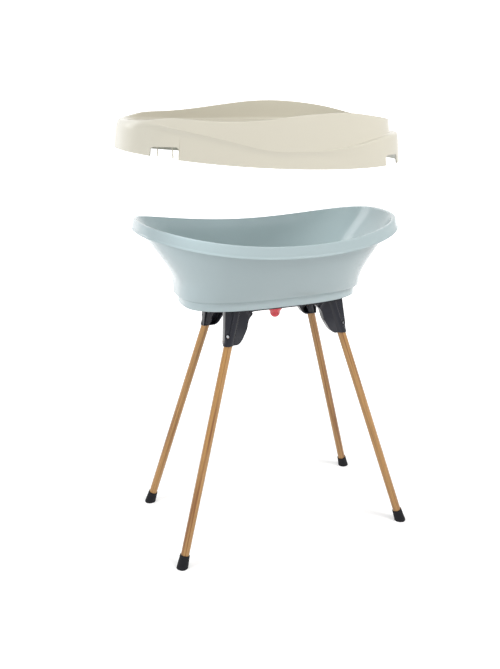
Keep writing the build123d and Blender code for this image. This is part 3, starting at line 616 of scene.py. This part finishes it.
def notched(hem, top):
    """The hem's heights with the notches cut: each goes up to its top, less a quarter circle of
    the notch's rounding at its ends. Returns each place's height."""
    x, y, z = hem.T
    for into, high in zip(notch_depths(x, y), (hem_height(SIDE_NOTCH_X, 0), SKIRT_LOW_Z)):
        short = np.clip(NOTCH_ROUND - into, 0, NOTCH_ROUND)
        arched = high + top - NOTCH_ROUND + np.sqrt(NOTCH_ROUND**2 - short**2)
        z = np.where(into > 0, np.maximum(z, arched), z)
    return z


def form_sizes(form, inset, z):
    """Both ends and the half width of a drafted form at the height z, drawn in by inset: its low
    sizes, less the share of its draft that z is of the way from its low height to its high one."""
    low, draft, z_low, z_high = form
    share = (z - z_low) / (z_high - z_low)
    half_width = low[2] - share * draft[2] - inset
    return low[0] + share * draft[0] + inset, low[1] - share * draft[1] - inset, half_width


def form_loop(t, form, inset, height):
    """A loop of a drafted form, drawn in by inset, at the height that the function gives at each
    place."""
    z = np.full(t.shape, (form[2] + form[3]) / 2)
    for _ in range(PASSES):
        left, right, half_width = form_sizes(form, inset, z)
        x, y = superellipse(t, (right - left) / 2, half_width, BOARD_POWER)
        x = x + (left + right) / 2
        z = height(x, y)
    return stacked(x, y, z)


SKIRT_FORM = (SKIRT_LOW, SKIRT_DRAFT, SKIRT_LOW_Z, BOARD_TOP_Z)
WALL_FORM = (WALL_LOW, WALL_DRAFT, RIM_LOW_Z, BOARD_TOP_Z + BOARD_WALL)


def board_turns(count):
    """Turns evenly spaced along the skirt, with closer ones across each notch's end."""
    t = even_turns(BOARD_HALF_LENGTH, BOARD_HALF_WIDTH, BOARD_POWER, count)
    fine = np.linspace(0, TURN, NOTCH_SEARCH_STEPS)[:-1]
    x, y, z = form_loop(fine, SKIRT_FORM, 0, hem_height).T
    extra = []
    for into in notch_depths(x, y):
        for depth in NOTCH_STEPS:
            crossing = np.nonzero(np.diff(np.sign(into - depth)))[0]
            extra.append(fine[crossing])
    every = np.sort(np.concatenate([t, *extra]))
    return every[np.concatenate(([True], np.diff(every) > CLOSEST_TURNS))]


def board_loops(sizes, count=420):
    """Loops of the board's moulding, from the middle of the lying surface outwards, up the wall's
    inner side, over its crest, down to the shoulder along the ridge, down the skirt to its hem, and
    back inside to the middle of the underside. Round the foot end the rows from the lying surface to
    the skirt turn into one large rounding."""
    t, wall = board_turns(count), BOARD_WALL

    def form(kind, inset, height):
        """A loop of the skirt's or the wall's form."""
        return form_loop(t, kind, inset, height)

    def under_ridge(depth):
        """The ridge's height, less the depth."""
        return lambda x, y: ridge_height(x, y) - depth

    inner_foot = form(WALL_FORM, wall, tray_height)
    middle = np.array([BOARD_X, 0.0])

    def lying(outline, share, drop=0.0):
        """The outline shrunk to a share of itself, at the lying surface's height less the drop."""
        x, y = (middle + share * (outline[:, :2] - middle)).T
        return stacked(x, y, tray_height(x, y) - drop)

    tray = [lying(inner_foot, share) for share in TRAY_SHARES]
    crest_in, crest_out = (form(WALL_FORM, inset, rim_of_board) for inset in (sizes.crest_width, 0))
    ledge_in, ledge_out = form(WALL_FORM, 0, ridge_height), form(SKIRT_FORM, 0, ridge_height)
    head = np.clip((ledge_out[:, 0] - ledge_in[:, 0] - LEDGE_START) / LEDGE_BLEND, 0, 1)
    cove = form(SKIRT_FORM, sizes.cove_depth, under_ridge(COVE_DROP))
    cove = cove + head[:, None] * (form(SKIRT_FORM, 0, under_ridge(HEAD_DROP)) - cove)
    cut = notched(form(SKIRT_FORM, 0, hem_height), NOTCH_HEIGHT)
    hem_out, hem_in = (form(SKIRT_FORM, inset, lambda x, y: cut) for inset in (0, wall))
    under_out = form(SKIRT_FORM, wall + sizes.cove_depth, under_ridge(wall))
    under_in = form(WALL_FORM, wall, under_ridge(wall))
    under_tray = form(WALL_FORM, wall, lambda x, y: np.maximum(tray_height(x, y), ridge_height(x, y)) - wall)
    walled = np.clip((crest_in[:, 2] - inner_foot[:, 2]) / FULL_WALL, 0, 1)
    ledge_in = ledge_out + (ledge_in - ledge_out) * (LEDGE_SHARE + (1 - LEDGE_SHARE) * head)[:, None]
    outer = [tray[-1], inner_foot, crest_in, crest_out, ledge_in, ledge_out, cove, hem_out, hem_in,
             under_out, under_in, under_tray]
    radii = [
        sizes.tray_round, CREST_IN_ROUND + LOW_CREST_IN_ROUND * (1 - walled),
        sizes.crest_round + LOW_CREST_OUT_ROUND * (1 - walled), sizes.ledge_round,
        sizes.shoulder_round + HEAD_SHOULDER_ROUND * head, COVE_ROUND, HEM_ROUND, HEM_ROUND,
        UNDER_OUT_ROUND, UNDER_IN_ROUND,
    ]
    samples, turned_corners = 7, 6
    shell = rounded(outer, radii, samples)
    turning = turned_corners * samples
    k = np.clip((FOOT_ROUND_END - ledge_out[:, 0]) / FOOT_ROUND_BLEND, 0, 1)
    weight = (k * k * (3 - 2 * k))[:, None]
    corner = form(SKIRT_FORM, 0, lambda x, y: rim_of_board(x, y) + FOOT_LIP)
    low = form(SKIRT_FORM, 0, lambda x, y: rim_of_board(x, y) - sizes.foot_round)
    start = lying(inner_foot, FOOT_START_SHARE)
    bend = swept((start, corner, low), np.arange(1, turning + 1) / turning)
    for row, loop in enumerate(bend, 1):
        shell[row] = shell[row] + weight * (loop - shell[row])
    under = [lying(under_tray, share, wall) for share in UNDER_SHARES]
    return [loop + np.array(BOARD_LIFT) for loop in tray[:-1] + shell + under]


def spaced(loops, step=0.014):
    """The loops with every straight stretch that is longer than the step divided evenly."""
    out = [loops[0]]
    for low, high in zip(loops, loops[1:]):
        parts = int(np.ceil(np.linalg.norm(high - low, axis=1).max() / step))
        out += [low + share * (high - low) for share in np.arange(1, parts + 1) / parts]
    return out


def width_at(left, right, half, x):
    """Half width at x of the outline |x/a|^n + |y/b|^n = 1 between two X places."""
    along = min(abs(2 * x - left - right) / (right - left), OUTLINE_END)
    return half * (1 - along**BOARD_POWER) ** (1 / BOARD_POWER)


def form_width(form, x, z, inset):
    """Half width of a drafted form at a place along it and a height, drawn in by inset."""
    left, right, half_width = form_sizes(form, inset, z)
    return width_at(left, right, half_width, x)


def seat_rib_section(share, side, cove_depth):
    """One plate under the board across the bath's rim, as two strips: the wide one over the rim
    and the narrow one outside it. Each strip is a row of four-cornered loops from low to high, whose
    outer ends stay within the skirt's wall, cove and all."""
    x, wall = place_on_board(share), BOARD_WALL
    place = np.array([x])
    ridge, hem = float(ridge_height(place, 0)[0]), float(hem_height(place, 0)[0])
    rim = float(rim_height(place)[0]) + SEAT_GAP
    left, right, half = WALL_LOW
    inner = width_at(left + SEAT_RIB_WIDTH, right - SEAT_RIB_WIDTH, half - SEAT_RIB_WIDTH, x)
    reach = TUB_HALF_LENGTH + SIDE_PLAY
    clear = width_at(TUB_X - reach, TUB_X + reach, TUB_HALF_WIDTH + SIDE_PLAY, x)
    x0, x1 = x - wall / 2, x + wall / 2
    strips = []
    for y_in, z_low, z_high in ((inner, rim, ridge - wall / 2), (clear, hem + wall, rim + STRIP_OVERLAP)):
        loops = []
        for z in np.linspace(z_low, z_high, SEAT_RIB_LEVELS):
            hollow = np.interp(z, (hem, ridge - COVE_DROP, ridge), (0, cove_depth, 0))
            a, b = sorted((side * y_in, side * form_width(SKIRT_FORM, x, z, wall / 2 + hollow)))
            loops.append([(x0, a, z), (x1, a, z), (x1, b, z), (x0, b, z)])
        strips.append(np.array(loops) + np.array(BOARD_LIFT))
    return strips


def tray_rib_section(share):
    """One plate under the lying surface, across it, whose edges follow its dish."""
    x = place_on_board(share)
    height = float(tray_height(np.array([x]), np.array([0.0]))[0])
    half_width = form_width(WALL_FORM, x, height, BOARD_WALL) - BOARD_WALL
    half = BOARD_WALL / 2
    loops = []
    for y in np.linspace(-half_width, half_width, TRAY_RIB_POINTS):
        high = float(tray_height(np.array([x]), np.array([y]))[0]) - half
        low = high - TRAY_RIB_HEIGHT
        loops.append([(x - half, y, low), (x - half, y, high), (x + half, y, high), (x + half, y, low)])
    return np.array(loops) + np.array(BOARD_LIFT)


# The legs and feet

def leg_axis(corner):
    """The leg's low end and its unit direction upwards."""
    sx, sy = CORNERS[corner]
    low = Vector((STAND_X + sx * FOOT_X, sy * FOOT_Y, 0.0))
    high = Vector((STAND_X + sx * SOCKET_X, sy * SOCKET_Y, SOCKET_Z))
    return low, (high - low).normalized()


def along_leg(corner, profile, floor=False, count=48, rounding=0.0015, samples=4):
    """Loops round a leaning leg, from the top down: each is a circle of its radius, square to the
    leg's axis where that is at its height above the floor. With floor, every point that would come
    below the floor slides up the leg's side to meet it."""
    low, up = leg_axis(corner)
    side = Vector((1.0, 0.0, 0.0))
    side = (side - up * side.dot(up)).normalized()
    e1, e2, e3, origin = np.array(side), np.array(up.cross(side)), np.array(up), np.array(low)
    t = np.arange(count) * TURN / count
    loops = []
    for radius, height in profile:
        ring = radius * (np.outer(np.cos(t), e1) + np.outer(np.sin(t), e2))
        loops.append(origin + ring + height / e3[2] * e3)
    loops = rounded(loops, [rounding] * (len(loops) - 2), samples)
    if floor:
        for loop in loops:
            loop += np.outer(np.clip(-loop[:, 2], 0, None) / e3[2], e3)
    return loops


# Sizes, colours and the steps that make the pieces

class ChangingBoardSizes(bpy.types.PropertyGroup):
    """Sizes and colours of the part that a user may change."""

    rim_inner_round: FloatProperty(
        name="Rim's inner edge", description="Rounding of the bath rim's inner edge",
        default=0.0035, min=0.0005, max=0.008, unit="LENGTH")
    rim_outer_round: FloatProperty(
        name="Rim's outer edge", description="Rounding of the bath rim's outer edge",
        default=0.006, min=0.0005, max=0.012, unit="LENGTH")
    tray_round: FloatProperty(
        name="Lying surface's edge", description="Rounding between the lying surface and its wall",
        default=0.022, min=0.002, max=0.04, unit="LENGTH")
    crest_round: FloatProperty(
        name="Crest", description="Rounding of the wall's crest",
        default=0.0020, min=0.0005, max=0.0025, unit="LENGTH")
    ledge_round: FloatProperty(
        name="Ledge", description="Hollow rounding where the wall meets the ledge",
        default=0.009, min=0.001, max=0.02, unit="LENGTH")
    shoulder_round: FloatProperty(
        name="Shoulder", description="Rounding of the shoulder along the ridge",
        default=0.005, min=0.001, max=0.03, unit="LENGTH")
    foot_round: FloatProperty(
        name="Foot end", description="Depth of the large rounding over the foot end",
        default=0.030, min=0.02, max=0.05, unit="LENGTH")
    cove_depth: FloatProperty(
        name="Cove", description="Depth of the hollow along the skirt under the ridge",
        default=0.0046, min=0, max=0.005, unit="LENGTH")
    crest_width: FloatProperty(
        name="Crest's width", description="Width of the wall at its crest",
        default=0.0048, min=0.003, max=0.006, unit="LENGTH")
    board_colour: FloatVectorProperty(
        name="Board", description="Colour of the changing board", subtype="COLOR",
        size=3, default=(0.565, 0.54, 0.455), min=0, max=1)
    bath_colour: FloatVectorProperty(
        name="Bath", description="Colour of the bath", subtype="COLOR",
        size=3, default=(0.36, 0.445, 0.465), min=0, max=1)
    stand_colour: FloatVectorProperty(
        name="Rails", description="Colour of the rails and cross bars", subtype="COLOR",
        size=3, default=(0.009, 0.010, 0.017), min=0, max=1)
    wood_colour: FloatVectorProperty(
        name="Legs", description="Colour of the wooden legs", subtype="COLOR",
        size=3, default=(0.405, 0.214, 0.068), min=0, max=1)
    foot_colour: FloatVectorProperty(
        name="Feet", description="Colour of the rubber feet", subtype="COLOR",
        size=3, default=(0.006, 0.006, 0.008), min=0, max=1)
    cap_colour: FloatVectorProperty(
        name="Drain cap", description="Colour of the drain's cap", subtype="COLOR",
        size=3, default=(0.72, 0.020, 0.040), min=0, max=1)


def sizes_of(context):
    return context.scene.changing_board_sizes


def bath_plastic(context):
    return finish_of("bath_plastic_finish", moulded_plastic, sizes_of(context).bath_colour,
                     rough=0.16, grain=0.04, coat=0.5)


def board_plastic(context):
    return finish_of("board_plastic_finish", moulded_plastic, sizes_of(context).board_colour,
                     rough=0.30, grain=0.06, coat=0.2)


def stand_plastic(context):
    return finish_of("stand_plastic_finish", moulded_plastic, sizes_of(context).stand_colour,
                     rough=0.20, grain=0.05, coat=0.12, specular=0.32)


class CHANGINGBOARD_OT_bath(bpy.types.Operator):
    """Makes the bath's moulding with its rim, its floor and the ribs under it"""

    bl_idname = "changing_board.bath"
    bl_label = "Bath"

    def execute(self, context):
        shell = skin("bath_shell", bath_loops(sizes_of(context)), closed=True)
        give(shell, bath_plastic(context), "bath")
        near, far = LOCATING_RIB_X, LOCATING_RIB_X + LOCATING_RIB_LENGTH
        places = []
        for sx in (-1, 1):
            x0, x1 = sorted((STAND_X + sx * near, STAND_X + sx * far))
            for y in (-LOCATING_RIB_Y, LOCATING_RIB_Y):
                y0, y1 = y - LOCATING_RIB_WALL / 2, y + LOCATING_RIB_WALL / 2
                places.append((x0, x1, y0, y1, BASE_Z - LOCATING_RIB_HEIGHT, BASE_Z + LOCATING_RIB_SINK))
        ribs = plate_ribs("bath_locating_ribs", places)
        soften(ribs, BATH_RIB_EDGE)
        give(ribs, bath_plastic(context), "bath")
        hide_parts("bath_tub")
        return {"FINISHED"}


class CHANGINGBOARD_OT_board(bpy.types.Operator):
    """Makes the changing board's moulding: skirt, shoulder, wall, lying surface and ribs"""

    bl_idname = "changing_board.board"
    bl_label = "Changing board"

    def execute(self, context):
        shell = skin("board_shell", spaced(board_loops(sizes_of(context))))
        give(shell, board_plastic(context), "board")
        depth = sizes_of(context).cove_depth
        sections = []
        for share in SEAT_RIBS:
            sections += seat_rib_section(share, -1, depth) + seat_rib_section(share, 1, depth)
        seats = blocks("board_seat_ribs", sections)
        soften(seats, BOARD_RIB_EDGE)
        give(seats, board_plastic(context), "board")
        under = blocks("board_tray_ribs", [tray_rib_section(share) for share in TRAY_RIBS])
        give(under, board_plastic(context), "board")
        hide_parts("changing_board")
        return {"FINISHED"}


class CHANGINGBOARD_OT_drain(bpy.types.Operator):
    """Makes the drain's outlet and cap and finishes its seals"""

    bl_idname = "changing_board.drain"
    bl_label = "Drain"

    def execute(self, context):
        outlet = skin("drain_outlet_moulding", self.turned(self.outlet_outline())[:-1], closed=True)
        give(outlet, bath_plastic(context), "bath")
        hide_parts("drain_outlet")
        cap = skin("drain_cap_knob", self.turned(self.cap_outline()))
        red = finish_of("cap_plastic_finish", moulded_plastic, sizes_of(context).cap_colour,
                        rough=0.25, grain=0.06, coat=0.4)
        give(cap, red, "drain_plug")
        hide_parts("drain_cap")
        seal = finish_of("seal_rubber_finish", rubber, SEAL_COLOUR)
        for node in ("outlet_seal", "cap_seal"):
            finish_node(node, seal)
        return {"FINISHED"}

    def turned(self, outline):
        """Loops of the outline's (radius, height) places turned round the drain's axis, with its
        inner corners rounded."""
        t = np.arange(DRAIN_POINTS) * TURN / DRAIN_POINTS
        loops = [drain_loop(t, radius, z) for radius, z in outline]
        return rounded(loops, [DRAIN_ROUND] * (len(loops) - 2), 4)

    def outlet_outline(self):
        """Once round the spigot's wall: the flange in the bath's floor, the spigot and its collar."""
        flange_z, collar_z = FLOOR_Z - FLANGE_HEIGHT, SPIGOT_END_Z + COLLAR_HEIGHT
        return [(SPIGOT_BORE, FLOOR_Z), (FLANGE_RADIUS, FLOOR_Z), (FLANGE_RADIUS, flange_z),
                (SPIGOT_RADIUS, flange_z), (SPIGOT_RADIUS, collar_z), (COLLAR_RADIUS, collar_z),
                (COLLAR_RADIUS, SPIGOT_END_Z), (SPIGOT_BORE, SPIGOT_END_Z), (SPIGOT_BORE, FLOOR_Z)]

    def cap_outline(self):
        """From the cap's seat out over its lip, down its side, in along half a cosine wave to the
        knob, and round the knob's end."""
        r, knob, seat, tip = DRAIN_CAP_RADIUS, KNOB_RADIUS, CAP_SEAT_Z, CAP_TIP_Z
        bore, shoulder = r - DRAIN_CAP_WALL, seat - DRAIN_CAP_WALL
        neck = [(r - (r - knob) * (0.5 - 0.5 * math.cos(a)), shoulder - (shoulder - tip - knob) * a / math.pi)
                for a in np.linspace(0, math.pi, NECK_LOOPS)]
        dome = [(knob * math.cos(a), tip + knob - knob * math.sin(a))
                for a in np.linspace(0, KNOB_END_ANGLE, KNOB_LOOPS)]
        return [(CLOSING_RADIUS, seat), (bore, seat), (bore, CAP_LIP_Z), (r, CAP_LIP_Z), *neck, *dome[1:],
                (KNOB_CLOSING_RADIUS, tip)]


class CHANGINGBOARD_OT_rails(bpy.types.Operator):
    """Makes the two rails and the two cross bars with softened edges"""

    bl_idname = "changing_board.rails"
    bl_label = "Rails and cross bars"

    def execute(self, context):
        for node in ("front_rail", "back_rail", "left_cross_bar", "right_cross_bar"):
            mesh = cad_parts[node].data.copy()
            work = bmesh.new()
            work.from_mesh(mesh)
            bmesh.ops.remove_doubles(work, verts=work.verts, dist=JOIN_DISTANCE)
            work.to_mesh(mesh)
            work.free()
            mesh.shade_smooth()
            piece = bpy.data.objects.new(node + "_moulding", mesh)
            context.scene.collection.objects.link(piece)
            soften(piece, RAIL_EDGE, segments=3, angle=32)
            mesh.set_sharp_from_angle(angle=math.radians(RAIL_SHARP_ANGLE))
            give(piece, stand_plastic(context), "stand")
            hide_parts(node)
        return {"FINISHED"}


class CHANGINGBOARD_OT_legs(bpy.types.Operator):
    """Makes the four wooden legs with their rubber feet"""

    bl_idname = "changing_board.legs"
    bl_label = "Legs and feet"

    def execute(self, context):
        wood = finish_of("leg_wood_finish", leg_wood, sizes_of(context).wood_colour)
        black = finish_of("foot_rubber_finish", rubber, sizes_of(context).foot_colour)
        for count, corner in enumerate(CORNERS):
            self.rod(corner, count, wood)
            self.foot(corner, black)
        return {"FINISHED"}

    def rod(self, corner, count, wood):
        """A round rod. Its own attribute holds each point's place in the leg's own axes, moved on
        from leg to leg, so that the grain runs along each leg and differs."""
        r, top, low = LEG_RADIUS, LEG_TOP_Z, LEG_LOW_Z
        heights = np.linspace(top - LEG_END, low + LEG_END, LEG_LOOPS)
        profile = [(CLOSING_RADIUS, top), (r, top), *[(r, z) for z in heights], (r, low),
                   (CLOSING_RADIUS, low)]
        piece = skin("leg_" + corner + "_rod", along_leg(corner, profile))
        origin, up = leg_axis(corner)
        turn = np.array(up.rotation_difference(Vector((0, 0, 1))).to_matrix())
        points = np.empty(len(piece.data.vertices) * 3, np.float32)
        piece.data.vertices.foreach_get("co", points)
        local = (points.reshape(-1, 3) - np.array(origin)) @ turn.T + np.array(GRAIN_SHIFT) * count
        grain = piece.data.attributes.new("along_leg", "FLOAT_VECTOR", "POINT")
        grain.data.foreach_set("vector", local.astype(np.float32).ravel())
        give(piece, wood, "stand")
        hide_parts("leg_" + corner)

    def foot(self, corner, black):
        """A flared rubber foot with grooves round it, cut level with the floor."""
        bore, outer = LEG_RADIUS + FIT, LEG_RADIUS + FOOT_WALL
        steps = []
        for height in FOOT_RINGS:
            wide = outer + FOOT_FLARE * (1 - height / FOOT_HEIGHT)
            steps += [(wide, height + RING_HALF_HEIGHT), (wide - RING_DEPTH, height),
                      (wide, height - RING_HALF_HEIGHT)]
        profile = [(CLOSING_RADIUS, LEG_LOW_Z), (bore, LEG_LOW_Z), (bore, FOOT_HEIGHT), (outer, FOOT_HEIGHT),
                   *steps, (outer + FOOT_FLARE, FOOT_FLARE_END), (outer + FOOT_FLARE, FOOT_CUT),
                   (CLOSING_RADIUS, FOOT_CUT)]
        loops = along_leg(corner, profile, floor=True, rounding=FOOT_ROUND, samples=3)
        cap = skin("foot_" + corner + "_cap", loops)
        give(cap, black, "stand")
        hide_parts("foot_" + corner)


class CHANGINGBOARD_OT_screws(bpy.types.Operator):
    """Finishes the screws and the threaded inserts"""

    bl_idname = "changing_board.screws"
    bl_label = "Screws and inserts"

    def execute(self, context):
        steel = finish_of("screw_steel_finish", turned_metal, STEEL_COLOUR, rough=0.3)
        brass = finish_of("insert_brass_finish", turned_metal, BRASS_COLOUR, rough=0.3)
        for node, metal in (("leg_screws", steel), ("cross_bar_screws", steel), ("leg_inserts", brass)):
            finish_node(node, metal)
        return {"FINISHED"}


class CHANGINGBOARD_OT_stage(bpy.types.Operator):
    """Makes the floor, the backdrop, the lamps and the camera"""

    bl_idname = "changing_board.stage"
    bl_label = "Stage"

    def execute(self, context):
        camera_data = bpy.data.cameras.new("view")
        camera = bpy.data.objects.new("view", camera_data)
        context.scene.collection.objects.link(camera)
        yaw, pitch, roll = CAMERA_YAW, CAMERA_PITCH, CAMERA_ROLL
        ahead = np.array([math.sin(yaw) * math.cos(pitch), math.cos(yaw) * math.cos(pitch), -math.sin(pitch)])
        level = np.array([math.cos(yaw), -math.sin(yaw), 0.0])
        above = np.cross(level, ahead)
        right = level * math.cos(roll) + above * math.sin(roll)
        up = -level * math.sin(roll) + above * math.cos(roll)
        axes = Matrix((right, up, -ahead)).transposed().to_4x4()
        camera.matrix_world = Matrix.Translation(CAMERA_PLACE) @ axes
        camera_data.sensor_fit = "VERTICAL"
        camera_data.sensor_height = SENSOR_HEIGHT
        camera_data.lens = FOCAL_PIXELS / FRAME_HEIGHT * SENSOR_HEIGHT
        camera_data.clip_end = FARTHEST_SEEN
        context.scene.camera = camera
        self.floor(context)
        self.lamps(context)
        return {"FINISHED"}

    def floor(self, context):
        """The floor runs level, then turns up behind in a quarter circle into a backdrop. It glows
        for camera and glossy rays only, and the more the further it is from the object, so that it
        is white and the object's shadow stays."""
        turn = np.linspace(0, math.pi / 2, 24)
        back = FLOOR_BACK_Y + BACKDROP_ROUND
        depth = np.concatenate([[FLOOR_FRONT_Y], FLOOR_BACK_Y + BACKDROP_ROUND * np.sin(turn), [back]])
        height = np.concatenate([[0.0], BACKDROP_ROUND - BACKDROP_ROUND * np.cos(turn), [BACKDROP_TOP_Z]])
        across = np.array([-FLOOR_HALF_WIDTH, FLOOR_HALF_WIDTH])
        points = np.stack([np.tile(across, len(depth)), np.repeat(depth, 2), np.repeat(height, 2)], -1)
        rows = np.arange(len(depth) - 1)[:, None] * 2
        floor = make_mesh("floor", points, rows + np.array([[0, 1, 3, 2]]))
        made = Finish("floor_finish", Roughness=0.8, Emission_Strength=1.0, Base_Color=(0.8, 0.8, 0.8, 1))
        seen = made.node("ShaderNodeLightPath", {}, {}, "Is Camera Ray")
        gloss = made.node("ShaderNodeLightPath", {}, {}, "Is Glossy Ray")
        away = made.node("ShaderNodeVectorMath", {"operation": "LENGTH"}, {"Vector": made.place()}, "Value")
        glow = made.node("ShaderNodeMapRange", {}, {
            "Value": away, "From Min": GLOW_START, "From Max": GLOW_END, "To Min": GLOW_LOW,
            "To Max": GLOW_HIGH})
        made.feed(Emission_Color=made.blend(seen.math("MAXIMUM", seen, gloss), (0, 0, 0, 1), glow))
        floor.data.materials.append(made.material)

    def lamps(self, context):
        """A dim white world, bright for camera and glossy rays only, and six square lamps."""
        world = bpy.data.worlds.new("studio")
        world.use_nodes = True
        nodes, links = world.node_tree.nodes, world.node_tree.links
        path, strength = nodes.new("ShaderNodeLightPath"), nodes.new("ShaderNodeMapRange")
        either = nodes.new("ShaderNodeMath")
        either.operation = "MAXIMUM"
        links.new(path.outputs["Is Camera Ray"], either.inputs[0])
        links.new(path.outputs["Is Glossy Ray"], either.inputs[1])
        links.new(either.outputs["Value"], strength.inputs["Value"])
        strength.inputs["To Min"].default_value = WORLD_STRENGTH
        strength.inputs["To Max"].default_value = WORLD_SEEN
        links.new(strength.outputs["Result"], nodes["Background"].inputs["Strength"])
        nodes["Background"].inputs["Color"].default_value = (1.0, 1.0, 1.0, 1)
        context.scene.world = world
        for name, (place, aim, size, power, colour, mirrored) in LAMPS.items():
            light = bpy.data.lights.new(name, "AREA")
            light.shape, light.size, light.energy, light.color = "SQUARE", size, power, colour
            lamp = bpy.data.objects.new(name, light)
            lamp.location, lamp.visible_glossy, lamp.visible_camera = place, mirrored, False
            towards = Vector((STAND_X, 0, aim)) - Vector(place)
            lamp.rotation_euler = towards.to_track_quat("-Z", "Y").to_euler()
            context.scene.collection.objects.link(lamp)
        context.scene.view_settings.view_transform = "Standard"


class CHANGINGBOARD_PT_panel(bpy.types.Panel):
    """Sizes, colours and steps of the changing board"""

    bl_idname = "CHANGINGBOARD_PT_panel"
    bl_label = "Changing board"
    bl_space_type = "VIEW_3D"
    bl_region_type = "UI"
    bl_category = "Changing board"

    def draw(self, context):
        sizes = sizes_of(context)
        for key in ChangingBoardSizes.__annotations__:
            self.layout.prop(sizes, key)
        for step in STEPS:
            self.layout.operator(step.bl_idname)


STEPS = (CHANGINGBOARD_OT_bath, CHANGINGBOARD_OT_board, CHANGINGBOARD_OT_drain, CHANGINGBOARD_OT_rails,
         CHANGINGBOARD_OT_legs, CHANGINGBOARD_OT_screws, CHANGINGBOARD_OT_stage)
CLASSES = (ChangingBoardSizes, *STEPS, CHANGINGBOARD_PT_panel)


def register():
    for cls in CLASSES:
        bpy.utils.register_class(cls)
    bpy.types.Scene.changing_board_sizes = PointerProperty(type=ChangingBoardSizes)


def unregister():
    del bpy.types.Scene.changing_board_sizes
    for cls in reversed(CLASSES):
        bpy.utils.unregister_class(cls)


def main():
    register()
    for step in (bpy.ops.changing_board.bath, bpy.ops.changing_board.board, bpy.ops.changing_board.drain,
                 bpy.ops.changing_board.rails, bpy.ops.changing_board.legs, bpy.ops.changing_board.screws,
                 bpy.ops.changing_board.stage):
        step()


if __name__ == "__main__":
    main()
